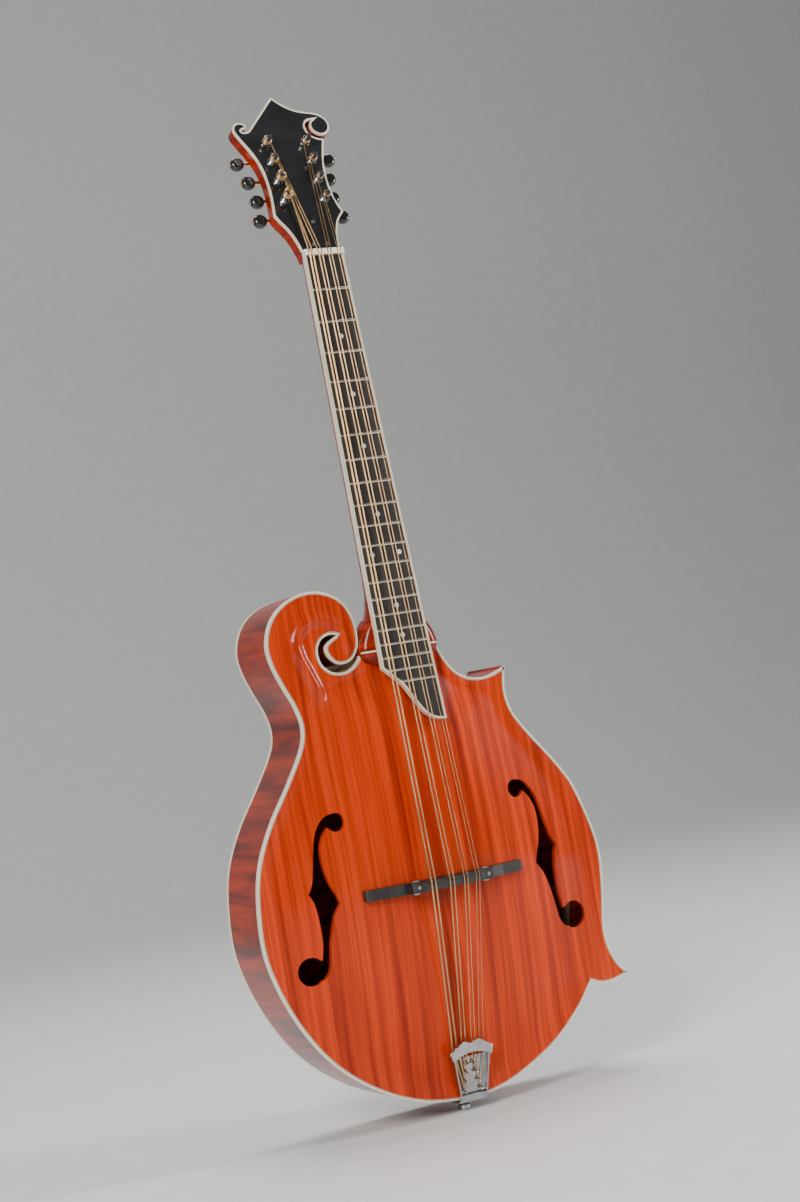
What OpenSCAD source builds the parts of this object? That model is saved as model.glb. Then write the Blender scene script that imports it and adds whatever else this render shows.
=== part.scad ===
// Large scroll-body member of the mandolin family: eight strings in four pairs, arched plates,
// raised fingerboard with an asymmetric end, screw-adjusted bridge and a hooked tailpiece.
// X points right seen from the front, Y points to the back, Z points up the neck.
// The origin is the centre of the end button's outer face.

/* [Body] */
// Depth of the body at its edges, mm
body_depth = 82; // [78:1:86]
// Thickness of both plates at their edges, mm
plate_edge = 5; // [4.5:0.5:5.5]
// Height of the top's arch above its edge, mm
top_arch = 20; // [18:0.5:20.5]
// Height of the back's arch behind its edge, mm
back_arch = 16; // [12:1:20]
// Thickness of the bent sides, mm
rib_thick = 2.5; // [2:0.25:3]
// Width of the edge binding, mm
binding_width = 2.6; // [2:0.2:3]
// Straight steps between two outline points
curve_steps = 3; // [2:1:4]

/* [Neck] */
// Tilt of the neck behind the plane of the top, degrees
neck_angle = 5; // [4.8:0.1:5.2]
// Tilt of the head behind the fingerboard, degrees
head_angle = 14; // [13:0.5:15]
// Thickness of the fingerboard, mm
board_thick = 6.5; // [6:0.25:7]
// Number of frets
fret_count = 20; // [18:1:20]
// Radius of the dots in the fingerboard, mm
dot_radius = 2.5; // [2:0.25:3]

/* [Bridge and tailpiece] */
// Radius of the two height wheels, mm
wheel_radius = 7; // [6.5:0.25:7.5]
// Thickness of the two height wheels, mm
wheel_thick = 3; // [2.5:0.25:3]
// Half length of the bridge base, mm
base_half = 84.5; // [80:0.5:86]
// Thickness of the tailpiece's sheet, mm
tail_sheet = 1.6; // [1.4:0.1:1.8]

/* [Tuning machines] */
// Distance between two posts of one row, mm
post_pitch = 23; // [22.5:0.25:23.25]
// Radius of the tuning posts, mm
post_radius = 3; // [2.8:0.1:3.1]
// Radius of the round buttons, mm
button_radius = 7.3; // [6.5:0.1:7.6]
// Thickness of the round buttons, mm
button_thick = 9; // [7:0.5:10]

/* [Hidden] */
$fn = 48;
far = 400;
front_y = -20;
glue_line = 0.02;
screw_hole_r = 1;
plug_hole_r = 4.5;
tail_screw_x = [-9, 9];
tail_screw_y = -12;
plate_screw_x = 13.2;
back_y = front_y + body_depth;
inner_front_y = front_y + plate_edge;
inner_back_y = back_y - plate_edge;
body_end_z = 11;
joint_z = 452;
bridge_z = 223;

// Outline of the body in front view, [x, z], walked clockwise from the tail.
bass_side = [
    [0, 11], [-50, 19], [-97, 41], [-137, 75], [-166, 120], [-184, 170], [-187.5, 210], [-181, 260],
    [-163.5, 300], [-136.5, 340], [-118, 370], [-113, 390], [-117, 410], [-125.5, 430], [-133, 450],
    [-136, 469], [-131.5, 487], [-122, 501], [-108, 511], [-92, 516.3], [-76, 516.6], [-60, 511],
    [-48.5, 501], [-42, 487], [-40, 472], [-41.5, 459], [-47.5, 449], [-56, 444.3], [-65.5, 444.8],
    [-72.5, 451], [-75.5, 459], [-73, 465.5], [-61, 472.5]
];
scroll_slot = [
    [-61, 472.5], [-69, 473.7], [-77, 471], [-82.5, 464.5], [-84, 456], [-82, 447], [-76, 440],
    [-67.5, 436.3], [-58, 436.3], [-49.5, 440], [-43, 446.5], [-41, 452]
];
treble_shoulder = [
    [42, 452], [45, 442], [52, 428.5], [60, 419], [70, 413], [80, 410.6], [90, 410.5], [100, 412.6],
    [114, 417.5]
];
treble_waist = [
    [114, 417.5], [111, 407], [109.4, 390], [114, 371], [127, 350], [142, 330], [156, 310],
    [167.5, 290], [177.5, 260], [184, 232], [185, 210], [181.8, 180], [177, 152], [176, 135],
    [179, 119], [186, 104.5], [194.7, 94.5]
];
point_end = [[194.7, 94.5], [182, 90.5], [170, 89], [160, 90.3], [151.4, 94]];
treble_bout = [[151.4, 94], [131, 70], [100, 44.5], [60, 24], [30, 14.5], [0, 11]];

// Edges of the arched area at matching stations from tail to neck, and the ridge heights between them.
arch_bass = [
    [0, 13], [-50, 21], [-97, 43], [-137, 77], [-166, 120], [-184, 170], [-187, 215], [-180, 260],
    [-162, 300], [-135, 340], [-117, 370], [-111, 392], [-104, 410], [-92, 424], [-74, 432],
    [-44, 438], [0, 444]
];
arch_treble = [
    [0, 13], [50, 21], [97, 43], [137, 77], [163, 117], [175, 162], [182, 207], [176.5, 257],
    [161, 298], [134, 340], [113, 371], [107, 391], [97, 404], [80, 408], [62, 415], [43, 431],
    [0, 444]
];
spine_z = [180, 185, 195, 207, 223, 242, 257, 272, 287, 303, 315, 325, 335, 345, 353, 361, 370];
arch_steps = 2;
arch_columns = 8;
arch_reach = 0.9;

// Sound hole of the treble side, [x, z]; the bass side is its mirror image.
f_stem_outer = [
    [98, 305.6], [105, 304.5], [110.5, 301.4], [115.5, 296], [119.3, 289.5], [122.3, 281], [124.8, 270],
    [127.6, 256], [129.8, 246], [132, 240.5], [135.6, 234.3]
];
f_stem_lower = [[135.6, 234.3], [132, 227], [129.6, 213], [128.9, 198], [129.3, 185], [132, 171.5]];
f_eye_low = [143.5, 163];
f_eye_low_r = 13.4;
f_eye_high = [98, 296.8];
f_eye_high_r = 8.9;
f_stem_inner = [
    [131.5, 153.6], [126, 161], [123.4, 173], [121, 187], [118, 199], [114.5, 209.3], [111, 215.5],
    [106.9, 220.7]
];
f_stem_upper = [
    [106.9, 220.7], [109, 228.5], [113, 238], [116.2, 250], [117.7, 263], [117, 274], [114.5, 282],
    [111, 288], [106.5, 293.2]
];

// Carved ridge from the top up into the scroll, [x, z].
scroll_ridge = [
    [-84, 387], [-88, 411], [-96, 436], [-104, 457], [-105, 472], [-97, 485], [-83, 491], [-68, 486.5],
    [-58, 476], [-51, 461]
];
ridge_sphere = 9;
ridge_sink = 5.6;

// Front edge of the braces behind the arch, [y, z].
bar_front = [
    [-6.6, 85], [-14.2, 140], [-17.5, 200], [-17.8, 260], [-15.7, 320], [-10.6, 375]
];

// Neck frame: u runs up the neck from the bridge line, y = 0 is the playing face of the board.
scale_length = 628.65;
board_rise = 37.5;
board_nut_half = 21;
board_end_u = 156;
board_end_curve = [
    [-28, 213], [-20, 205], [-10, 194.5], [-2.5, 181.5], [6, 167], [13, 160.5], [20, 157.3], [28.7, 156]
];
board_binding = 1.8;
fret_crown_r = 1.5;
fret_sink = 0.4;
fret_tang = [0.5, 1.9];
nut_thick = 6;
nut_rise = 2.6;
nut_depth = 4.9;

// Sections of the neck below the board: [u, half width, depth, fullness].
neck_sections = [
    [637, 20.9, 12, 1], [600, 21.5, 14.6, 1], [520, 22.8, 15.4, 1], [420, 24.4, 16.4, 1],
    [320, 26, 17.6, 1], [300, 26.3, 19, 0.95], [286, 26.5, 24, 0.9], [274, 26.6, 34, 0.85],
    [264, 26.7, 50, 0.8], [255, 26.8, 68, 0.78], [246, 26.9, 84, 0.76], [232, 27, 98, 0.75],
    [215, 27, 106, 0.75]
];
section_steps = 14;
ear_edge = [
    [-27, 483], [-32, 477], [-37, 468.5], [-40.5, 460],
    [-42, 451], [-39, 444], [-34, 440], [-27, 438]
];
ear_front_y = front_y - 11;
ear_back_y = front_y + 15;
ear_round = 100;
tenon = [26, 20];

// Head frame: v runs up the head from the nut, y = 0 is the front face.
head_drop = 2.5;
overlay_thick = 2.6;
head_thick = 14.5;
head_binding_width = 1.8;
overlay_start = 6.4;
head_right = [
    [21, 0], [21, 9], [22.3, 20], [26, 33], [31, 42.5], [37.8, 50]
];
head_right_waist = [
    [37.8, 50], [34.6, 60], [32.6, 70], [31.8, 82], [32.4, 94], [34.3, 108], [37.8, 121], [43.5, 138.3]
];
head_slot_outer = [
    [43.5, 138.3], [38, 139.4], [32.5, 142], [28.4, 147], [26.9, 153], [28.6, 158.6], [32.5, 162], [38, 163]
];
head_scroll = [
    [38, 163], [34.4, 160], [32.8, 155.5], [33.6, 150.3], [37, 146.2], [41.5, 144], [46.5, 144.4],
    [51, 147.3], [54, 152.3], [54.6, 158], [52.6, 163.4], [49, 167.2], [44.5, 169.7], [38, 171.5],
    [30, 172.8], [24, 174.2], [18, 176.6], [11, 181], [5, 186.2], [0, 191.5]
];
head_slope = [[0, 191.5], [-34, 153.5]];
head_curl_notch = [
    [-34, 153.5], [-36.2, 151.2], [-39.4, 149.9], [-42.6, 149.9], [-44, 151.6], [-42, 153.4], [-38.4, 154.3]
];
head_curl = [
    [-38.4, 154.3], [-37.6, 157], [-39.5, 160], [-43.6, 161.5], [-48.2, 160.5], [-51.6, 157.3],
    [-52.8, 153], [-51.8, 148], [-49, 141.5], [-45.8, 135], [-42.5, 128], [-39.8, 121.5],
    [-37.2, 113.5], [-35.4, 104.5], [-34.5, 95], [-34.4, 85], [-35, 74], [-36.4, 62], [-38.4, 49.5]
];
head_left = [[-38.4, 49.5], [-35, 42.5], [-31, 36], [-27.3, 28.5], [-24.4, 20], [-22, 9], [-21, 0]];
cover_outline = [
    [-11.5, 9], [11.5, 9], [11.8, 14], [9, 19], [6, 27], [4.8, 36], [4.2, 41], [0, 44], [-4.2, 41],
    [-4.8, 36], [-6, 27], [-9, 19], [-11.8, 14]
];
cover_thick = 1.6;
cover_screws = [[0.6, 38.8], [-7.4, 12.3], [7.6, 12.3]];

// Tuning machines.
post_row_x = 21.7;
first_post_v = 66.5;
post_height = 12;
button_reach = [23.7, 20.2, 23.1, 28.9];
worm_offset = 10.5;
worm_y = 19.6;
worm_pitch = 2.9;
worm_core = 2.7;
worm_crest = 3.9;
worm_turns = 3.5;
gear_teeth = 15;
gear_root = 6.3;
gear_tip = 7.7;
gear_y = 17.6;
gear_thick = 4;
plate_thick = 1;
run_gap = 0.05;
bushing_r = 5.2;
sleeve_r = 4.1;

// Bridge, measured forward from the edge plane of the top.
base_top_mid = 28.5;
base_top_end = 21.5;
base_width = 10.5;
wheel_gap = 1.7;
wheel_x = 37.4;
stud_r = 1.9;
saddle_half = 44;
saddle_top = 43;
saddle_bottom = base_top_mid + wheel_gap + wheel_thick + 0.3;

// Tailpiece frame: z runs up from its lower bar, y = 0 rests above the top.
tail_tilt = 6.7;
tail_foot = [0, front_y - 0.5, 13.5];
// Side views of the folded sheet and of its raised rim, [y, z].
tail_sheet_profile = [
    [-25.2, 53.2], [-20.5, 13.5], [-20.3, body_end_z - 0.2], [9, body_end_z - 0.2],
    [9, body_end_z - 0.2 - tail_sheet], [-21, body_end_z - 0.2 - tail_sheet],
    [-22, 10], [-22, 13.4], [-26.6, 53]
];
tail_rim_profile = [[-26, 53.2], [-21.3, 13], [-21.3, 11.5], [-25.6, 12.5], [-26.4, 14.5], [-34.6, 52.4]];
tail_half_low = 14.5;
tail_half_high = 20.5;
hook_rows = [[3.2, 33], [5.2, 24.5], [7.3, 16], [9, 7.5]];
hook_r = 1.1;

// Strings from bass to treble: [radius, x at nut, x at saddle, x at the tailpiece bar].
string_set = [
    [0.95, -16.7, -25.8, -16.5], [0.95, -13.1, -21.5, -12.1], [0.7, -6.8, -6.1, -6.6],
    [0.7, -3.1, -1.9, -2.4], [0.5, 3.7, 9.3, 3.8], [0.5, 7.1, 13, 7.8], [0.35, 14.3, 22.1, 12.2],
    [0.35, 17.4, 25.7, 16.6]
];
bar_z = 61;
bar_y = front_y - 9;

ebony = [0.13, 0.12, 0.12];
maple = [0.62, 0.25, 0.12];
spruce = [0.85, 0.34, 0.14];
ivory = [0.93, 0.91, 0.82];
steel = [0.78, 0.79, 0.81];
gold = [0.83, 0.62, 0.40];
bronze = [0.83, 0.66, 0.42];
pale_wood = [0.86, 0.75, 0.55];

function spline(a, b, c, d, t) =
    0.5 * (2 * b + (c - a) * t + (2 * a - 5 * b + 4 * c - d) * t * t + (3 * b - a - 3 * c + d) * t * t * t);
function before(p, i) = i > 0 ? p[i - 1] : 2 * p[0] - p[1];
function after(p, i) = i < len(p) - 1 ? p[i + 1] : 2 * p[len(p) - 1] - p[len(p) - 2];
function smooth(p, n) = concat(
    [for (i = [0:len(p) - 2], k = [0:n - 1]) spline(before(p, i), p[i], p[i + 1], after(p, i + 1), k / n)],
    [p[len(p) - 1]]
);
function rest(p) = [for (i = [1:len(p) - 1]) p[i]];
function reversed(p) = [for (i = [len(p) - 1:-1:0]) p[i]];
function right_of(d) = [d[1], -d[0]] / norm(d);
function inset(p, w) = [
    for (i = [0:len(p) - 1]) p[i] + w * right_of(p[min(i + 1, len(p) - 1)] - p[max(i - 1, 0)])
];
function fret_u(n) = scale_length * pow(2, -n / 12);
function arch_height(z) = 1 - 0.225 * pow(max(0, min(1, (z - 260) / 110)), 1.5);
function arch_shape(t) = pow(max(0, 1 - pow(t / arch_reach, 2)), 1.5);
function post_v(k) = first_post_v + post_pitch * k;

body_outline = concat(
    smooth(bass_side, curve_steps), rest(smooth(scroll_slot, curve_steps)),
    smooth(treble_shoulder, curve_steps), rest(smooth(treble_waist, curve_steps)),
    rest(smooth(point_end, curve_steps)), rest(smooth(treble_bout, curve_steps))
);
head_outline = concat(
    smooth(head_right, 2), rest(smooth(head_right_waist, 2)), rest(smooth(head_slot_outer, 2)),
    rest(smooth(head_scroll, 2)), rest(head_slope), rest(smooth(head_curl_notch, 2)),
    rest(smooth(head_curl, 2)), rest(smooth(head_left, 2))
);

// A flat front-view shape given depth from y0 to y1.
module slab(y0, y1) {
    translate([0, y1, 0]) rotate([90, 0, 0]) linear_extrude(height = y1 - y0) children();
}

module rod(p, q, r) {
    d = q - p;
    translate(p) rotate([0, acos(d[2] / norm(d)), atan2(d[1], d[0])]) cylinder(r = r, h = norm(d));
}

module outline_2d() {
    polygon(body_outline);
}

module inside_2d(w) {
    offset(delta = -w) outline_2d();
}

module strip_2d(p, w) {
    q = smooth(p, curve_steps);
    intersection() {
        polygon(concat(q, reversed(inset(q, w))));
        outline_2d();
    }
}

// Shrinks a glued piece by half a glue line, so that neighbours touch without sharing a face.
module glued_2d() {
    offset(delta = -glue_line / 2) children();
}

// Solid under an arched surface; its front rises towards -Y from y = 0, its back is flat at y = base.
module arch_solid(rise, base) {
    bass = smooth(arch_bass, arch_steps);
    treble = smooth(arch_treble, arch_steps);
    spine = smooth(spine_z, arch_steps);
    last = len(spine) - 1;
    wide = 2 * arch_columns;
    skin = [
        for (i = [0:last], j = [0:wide])
            let (
                s = j / arch_columns - 1,
                edge = s < 0 ? bass[i] : treble[i],
                foot = [0, spine[i]],
                p = foot + arch_reach * abs(s) * (edge - foot)
            ) [p[0], -rise * arch_height(spine[i]) * arch_shape(arch_reach * abs(s)), p[1]]
    ];
    rim = [
        for (i = [0:last], side = [bass, treble])
            let (foot = [0, spine[i]], p = foot + arch_reach * (side[i] - foot)) [p[0], base, p[1]]
    ];
    first_rim = (last + 1) * (wide + 1);
    function at(i, j) = i * (wide + 1) + ((i == 0 || i == last) && j > arch_columns ? wide - j : j);
    function low(i, side) = first_rim + 2 * i + ((i == 0 || i == last) ? 0 : side);
    faces = concat(
        [for (i = [0:last - 1], j = [0:wide - 1]) each [
            [at(i, j), at(i + 1, j + 1), at(i + 1, j)], [at(i, j), at(i, j + 1), at(i + 1, j + 1)]
        ]],
        [for (i = [0:last - 1]) each [
            [at(i, 0), at(i + 1, 0), low(i + 1, 0)], [at(i, 0), low(i + 1, 0), low(i, 0)],
            [at(i, wide), low(i + 1, 1), at(i + 1, wide)], [at(i, wide), low(i, 1), low(i + 1, 1)]
        ]],
        [for (i = [0:last - 2]) [low(i, 0), low(i + 1, 0), low(i + 1, 1)]],
        [for (i = [1:last - 1]) [low(i, 0), low(i + 1, 1), low(i, 1)]]
    );
    polyhedron(points = concat(skin, rim), faces = [for (f = faces) reversed(f)], convexity = 8);
}

module f_hole_2d() {
    polygon(concat(
        smooth(f_stem_outer, 3), rest(smooth(f_stem_lower, 3)), [f_eye_low],
        smooth(f_stem_inner, 3), rest(smooth(f_stem_upper, 3)), [f_eye_high]
    ));
    translate(f_eye_low) circle(r = f_eye_low_r);
    translate(f_eye_high) circle(r = f_eye_high_r);
}

module top_plate() {
    color(spruce) difference() {
        union() {
            slab(front_y, inner_front_y) inside_2d(binding_width);
            translate([0, front_y, 0]) arch_solid(top_arch, 3);
            intersection() {
                for (i = [0:len(scroll_ridge) - 2]) hull() {
                    for (p = [scroll_ridge[i], scroll_ridge[i + 1]])
                        translate([p[0], front_y + ridge_sink, p[1]]) sphere(r = ridge_sphere, $fn = 20);
                }
                slab(front_y - 20, inner_front_y - 0.5) inside_2d(binding_width + 1);
            }
        }
        translate([0, inner_front_y, 0]) arch_solid(top_arch, 2);
        slab(front_y - 40, inner_front_y + 1) {
            f_hole_2d();
            mirror([1, 0]) f_hole_2d();
        }
    }
}

// The back, with the small round button that covers the heel.
module back_plate() {
    color(maple) difference() {
        union() {
            slab(inner_back_y, back_y) {
                inside_2d(binding_width);
                intersection() {
                    translate([0, joint_z]) circle(r = 15);
                    translate([-20, joint_z - 3]) square([40, 40]);
                }
            }
            mirror([0, 1, 0]) translate([0, -back_y, 0]) arch_solid(back_arch, 3);
        }
        mirror([0, 1, 0]) translate([0, -inner_back_y, 0]) arch_solid(back_arch, 2);
    }
}

module rib(p) {
    color(maple) slab(inner_front_y, inner_back_y) glued_2d() strip_2d(p, rib_thick);
}

// Fills the bend where the strip of the lower bout turns out to the point.
module rib_bend_2d() {
    intersection() {
        translate(treble_bout[0]) circle(r = rib_thick);
        outline_2d();
    }
}

// Holes in the tail for the plug of the end button and the two tailpiece screws.
module tail_holes() {
    translate([0, 0, body_end_z - 1]) cylinder(r = plug_hole_r, h = 23);
    for (x = tail_screw_x) translate([x, tail_screw_y, body_end_z - 1]) cylinder(r = screw_hole_r, h = 13);
}

module rib_bass() {
    difference() {
        rib(bass_side);
        color(maple) tail_holes();
    }
}

module rib_treble_upper() {
    rib(treble_shoulder);
}

module rib_treble_waist() {
    color(maple) slab(inner_front_y, inner_back_y) glued_2d() difference() {
        strip_2d(treble_waist, rib_thick);
        strip_2d(treble_shoulder, rib_thick);
    }
}

module rib_treble_lower() {
    color(maple) difference() {
        slab(inner_front_y, inner_back_y) glued_2d() difference() {
            union() {
                strip_2d(point_end, rib_thick);
                strip_2d(treble_bout, rib_thick);
                rib_bend_2d();
            }
            strip_2d(treble_waist, rib_thick);
            strip_2d(bass_side, rib_thick);
        }
        tail_holes();
    }
}

module ribs_2d() {
    for (p = [bass_side, treble_shoulder, treble_waist, point_end, treble_bout]) strip_2d(p, rib_thick);
    rib_bend_2d();
}

module head_block_2d() {
    difference() {
        intersection() {
            outline_2d();
            polygon([[-150, 447], [-112, 427], [-95, 421], [48, 421], [48, 465], [-30, 535], [-150, 535]]);
        }
        ribs_2d();
    }
}

module tail_block_2d() {
    difference() {
        intersection() {
            outline_2d();
            translate([-34, 0]) square([68, 37]);
        }
        ribs_2d();
    }
}

module point_blocks_2d() {
    difference() {
        intersection() {
            outline_2d();
            union() {
                polygon([[86, 435], [86, 399], [106, 385], [120, 385], [120, 435]]);
                polygon([[152, 75], [152, 103], [172, 119], [200, 119], [200, 75]]);
            }
        }
        ribs_2d();
    }
}

module tenon_box(y0, y1) {
    translate([-tenon[0] / 2, y0, joint_z - tenon[1]]) cube([tenon[0], y1 - y0, tenon[1] + 4]);
}

module head_block() {
    color(pale_wood) difference() {
        slab(inner_front_y, inner_back_y) glued_2d() head_block_2d();
        tenon_box(inner_front_y, inner_back_y - 3);
    }
}

module tail_block() {
    color(pale_wood) difference() {
        slab(inner_front_y, inner_back_y) glued_2d() tail_block_2d();
        tail_holes();
    }
}

module point_blocks() {
    color(pale_wood) slab(inner_front_y, inner_back_y) glued_2d() point_blocks_2d();
}

// Kerfed strips glued into the corners between the ribs and the plates.
module linings() {
    color(pale_wood) for (y = [inner_front_y, inner_back_y - 12]) slab(y, y + 12) glued_2d() difference() {
        inside_2d(rib_thick);
        inside_2d(rib_thick + 6);
        ribs_2d();
        head_block_2d();
        tail_block_2d();
        point_blocks_2d();
        translate([-130, 395]) square([260, 140]);
        translate([146, 79]) square([60, 46]);
        translate([80, 375]) square([40, 50]);
    }
}

// Two long braces glued under the top, their front edges following the arch.
module tone_bars() {
    color(pale_wood) for (side = [-1, 1]) translate([side * 40, inner_front_y, 0]) rotate([0, -side * 2, 0])
        translate([-4, 0, 0]) rotate([90, 0, 90]) linear_extrude(height = 8) polygon(concat(
            smooth(bar_front, 2), [[-6, 375], [-6, 330], [-4, 225], [-4, 130], [-2, 85]]
        ));
}

// Rounded shoulders of the neck beside the board, cut flat where they meet the body's edge.
module ears(grow) {
    intersection() {
        slab(ear_front_y - 5, ear_back_y) {
            polygon(concat(smooth(ear_edge, 2), reversed([for (p = smooth(ear_edge, 2)) [-p[0], p[1]]])));
        }
        translate([0, ear_front_y + ear_round - grow, 395]) cylinder(r = ear_round, h = 120, $fn = 96);
    }
}

module ear_line() {
    intersection() {
        ears(0.3);
        union() for (x = [-60, 27.5]) translate([x, front_y - 40, joint_z - 1.6]) cube([32.5, 80, 1.6]);
    }
}

module edge_binding(y0, y1) {
    slab(y0, y1) difference() {
        outline_2d();
        inside_2d(binding_width);
    }
}

module top_binding() {
    color(ivory) {
        edge_binding(front_y, inner_front_y);
        difference() {
            ear_line();
            translate([-100, front_y, 0]) cube([200, 60, 600]);
        }
    }
}

module back_binding() {
    color(ivory) difference() {
        edge_binding(inner_back_y, back_y);
        slab(inner_back_y - 1, back_y + 1) translate([0, joint_z]) circle(r = 15);
    }
}

module neck_frame() {
    translate([0, front_y - board_rise, bridge_z - 2]) rotate([-neck_angle, 0, 0]) children();
}

module head_frame() {
    neck_frame() translate([0, head_drop, scale_length]) rotate([-head_angle, 0, 0]) children();
}

function section_point(s, k) =
    let (a = 180 * k / section_steps, c = cos(a))
    [-s[1] * sign(c) * pow(abs(c), s[3]), board_thick + s[2] * pow(sin(a), 0.9), s[0]];

module neck_loft() {
    rows = len(neck_sections);
    cols = section_steps + 1;
    points = [for (s = neck_sections, k = [0:section_steps]) section_point(s, k)];
    sides = [for (i = [0:rows - 2], k = [0:section_steps]) let (n = (k + 1) % cols) each [
        [i * cols + k, (i + 1) * cols + k, (i + 1) * cols + n],
        [i * cols + k, (i + 1) * cols + n, i * cols + n]
    ]];
    ends = [[for (k = [0:section_steps]) k], [for (k = [section_steps:-1:0]) (rows - 1) * cols + k]];
    polyhedron(points = points, faces = concat(sides, ends), convexity = 6);
}

module head_2d() {
    polygon(head_outline);
}

module post_holes(r) {
    for (x = [-post_row_x, post_row_x], k = [0:3])
        translate([x, -5, post_v(k)]) rotate([-90, 0, 0]) cylinder(r = r, h = 40);
}

module truss_channel() {
    translate([-2.6, board_thick - 0.1, 262]) cube([5.2, 6.1, scale_length - 262 + 12]);
}

module cover_screw_holes() {
    for (p = cover_screws)
        translate([p[0], -1, p[1]]) rotate([-90, 0, 0]) cylinder(r = screw_hole_r, h = 5.4);
}

module truss_pocket() {
    translate([-4.2, 0, overlay_start]) cube([8.4, 10, 26]);
}

// The neck with its head, heel, shoulders and the tenon that enters the body's block.
module neck() {
    color(maple) difference() {
        union() {
            difference() {
                union() {
                    neck_frame() neck_loft();
                    ears(0);
                }
                translate([-far / 2, -far / 2, joint_z - far]) cube([far, far, far]);
                translate([-far / 2, inner_back_y, joint_z - 10]) cube([far, far / 2, far / 2]);
            }
            difference() {
                ears(0);
                translate([-far / 2, -far / 2, joint_z]) cube([far, far, far]);
                translate([-far / 2, front_y, 0]) cube([far, far, joint_z + 1]);
            }
            tenon_box(front_y - 1, inner_back_y - 3);
            head_frame() slab(overlay_thick, head_thick) head_2d();
        }
        ear_line();
        intersection() {
            slab(front_y - 0.01, inner_front_y) outline_2d();
            translate([-50, front_y, joint_z - 30]) cube([100, plate_edge, 30]);
        }
        neck_frame() translate([-60, board_thick - 30, 100]) cube([120, 30, scale_length - 100]);
        neck_frame() truss_channel();
        translate([0, front_y - glue_line, 0]) arch_solid(top_arch, 3);
        head_frame() {
            slab(-30, overlay_thick + glue_line) translate([-80, overlay_start]) square([160, 220]);
            post_holes(sleeve_r);
            truss_pocket();
            cover_screw_holes();
            for (x = [-plate_screw_x, plate_screw_x], v = plate_screw_v())
                translate([x, head_thick - 6, v]) rotate([-90, 0, 0]) cylinder(r = screw_hole_r, h = 7);
        }
    }
}

module head_overlay() {
    color(ebony) head_frame() difference() {
        slab(0, overlay_thick) intersection() {
            offset(delta = -head_binding_width) head_2d();
            translate([-80, overlay_start]) square([160, 220]);
        }
        post_holes(sleeve_r);
        truss_pocket();
        cover_screw_holes();
    }
}

module head_binding() {
    color(ivory) head_frame() slab(0, overlay_thick) intersection() {
        difference() {
            head_2d();
            offset(delta = -head_binding_width) head_2d();
        }
        translate([-80, overlay_start]) square([160, 220]);
    }
}

// Steel rod under the board with its adjusting nut in the head's pocket.
module truss_rod() {
    color(steel) {
        neck_frame() translate([0, board_thick + 3, 266]) cylinder(r = 2.4, h = scale_length - 266 + 11);
        head_frame() translate([0, 5.6, 12]) cylinder(r = 3.4, h = 10, $fn = 6);
        head_frame() translate([0, 5.6, 9]) cylinder(r = 2.3, h = 4);
    }
}

module truss_cover() {
    color(ebony) head_frame() difference() {
        slab(-cover_thick, 0) polygon(cover_outline);
        for (p = cover_screws) translate([p[0], -5, p[1]]) rotate([-90, 0, 0]) cylinder(r = 1, h = 10);
    }
}

module board_2d() {
    polygon(concat(
        [[-board_nut_half, scale_length], [board_nut_half, scale_length]],
        reversed(smooth(board_end_curve, 3))
    ));
}

module fret_wires(extra) {
    for (n = [1:fret_count]) translate([-40, 0, fret_u(n)]) {
        intersection() {
            translate([0, fret_sink, 0]) rotate([0, 90, 0]) cylinder(r = fret_crown_r, h = 80);
            translate([0, -3, -3]) cube([80, 3, 6]);
        }
        translate([0, -0.01, -fret_tang[0] / 2]) cube([80, fret_tang[1] + extra, fret_tang[0]]);
    }
}

module board_dots(h) {
    for (p = [[3, 0], [5, 0], [7, 0], [10, 0], [12, -14.5], [12, 14.5], [15, 0], [17, 0]])
        translate([p[1], 0, (fret_u(p[0]) + fret_u(p[0] - 1)) / 2])
            rotate([-90, 0, 0]) cylinder(r = dot_radius, h = h);
}

module fingerboard() {
    color(ebony) neck_frame() difference() {
        slab(0, board_thick) offset(delta = -board_binding) board_2d();
        slab(-1, board_thick + 1) translate([-30, scale_length - 0.01]) square([60, 3]);
        fret_wires(0);
        translate([0, -0.01, 0]) board_dots(1.21);
    }
}

module fingerboard_binding() {
    color(ivory) neck_frame() slab(0, board_thick) difference() {
        board_2d();
        offset(delta = -board_binding) board_2d();
        translate([-board_nut_half + board_binding, 400]) square([2 * (board_nut_half - board_binding), 240]);
    }
}

module frets() {
    color(steel) neck_frame() intersection() {
        fret_wires(0);
        slab(-3, board_thick) offset(delta = -board_binding) board_2d();
    }
}

module position_dots() {
    color(ivory) neck_frame() board_dots(1.2);
}

// A string slot, level over the front of the nut and then dipping with the string towards the head.
module nut_slot(s) {
    floor_y = s[0] + 0.15 - nut_rise;
    translate([s[1] + s[0] + 0.3, 0, scale_length]) rotate([0, -90, 0])
        linear_extrude(height = 2 * s[0] + 0.6)
        polygon([[-1, -nut_rise - 2], [-1, floor_y], [2.8, floor_y], [8, floor_y + 1.6], [8, -nut_rise - 2]]);
}

module nut() {
    color(ivory) neck_frame() difference() {
        translate([-21.4, -nut_rise, scale_length]) cube([42.8, nut_rise + nut_depth, nut_thick]);
        translate([-30, -nut_rise - 6.6, scale_length + nut_thick - 1]) rotate([-24, 0, 0]) cube([60, 6, 12]);
        for (s = string_set) nut_slot(s);
    }
}

module bridge_base_shape() {
    t = front_y - base_top_mid;
    e = front_y - base_top_end;
    translate([0, 0, bridge_z - base_width / 2]) linear_extrude(height = base_width) polygon([
        [-base_half, front_y], [-base_half, e + 1], [-base_half + 2, e], [-62, e - 2.2], [-48, t], [48, t],
        [62, e - 2.2], [base_half - 2, e], [base_half, e + 1], [base_half, front_y]
    ]);
}

module bridge_base() {
    color(ebony) difference() {
        bridge_base_shape();
        translate([0, front_y, 0]) arch_solid(top_arch, 3);
        stud_rods(0);
    }
}

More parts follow.
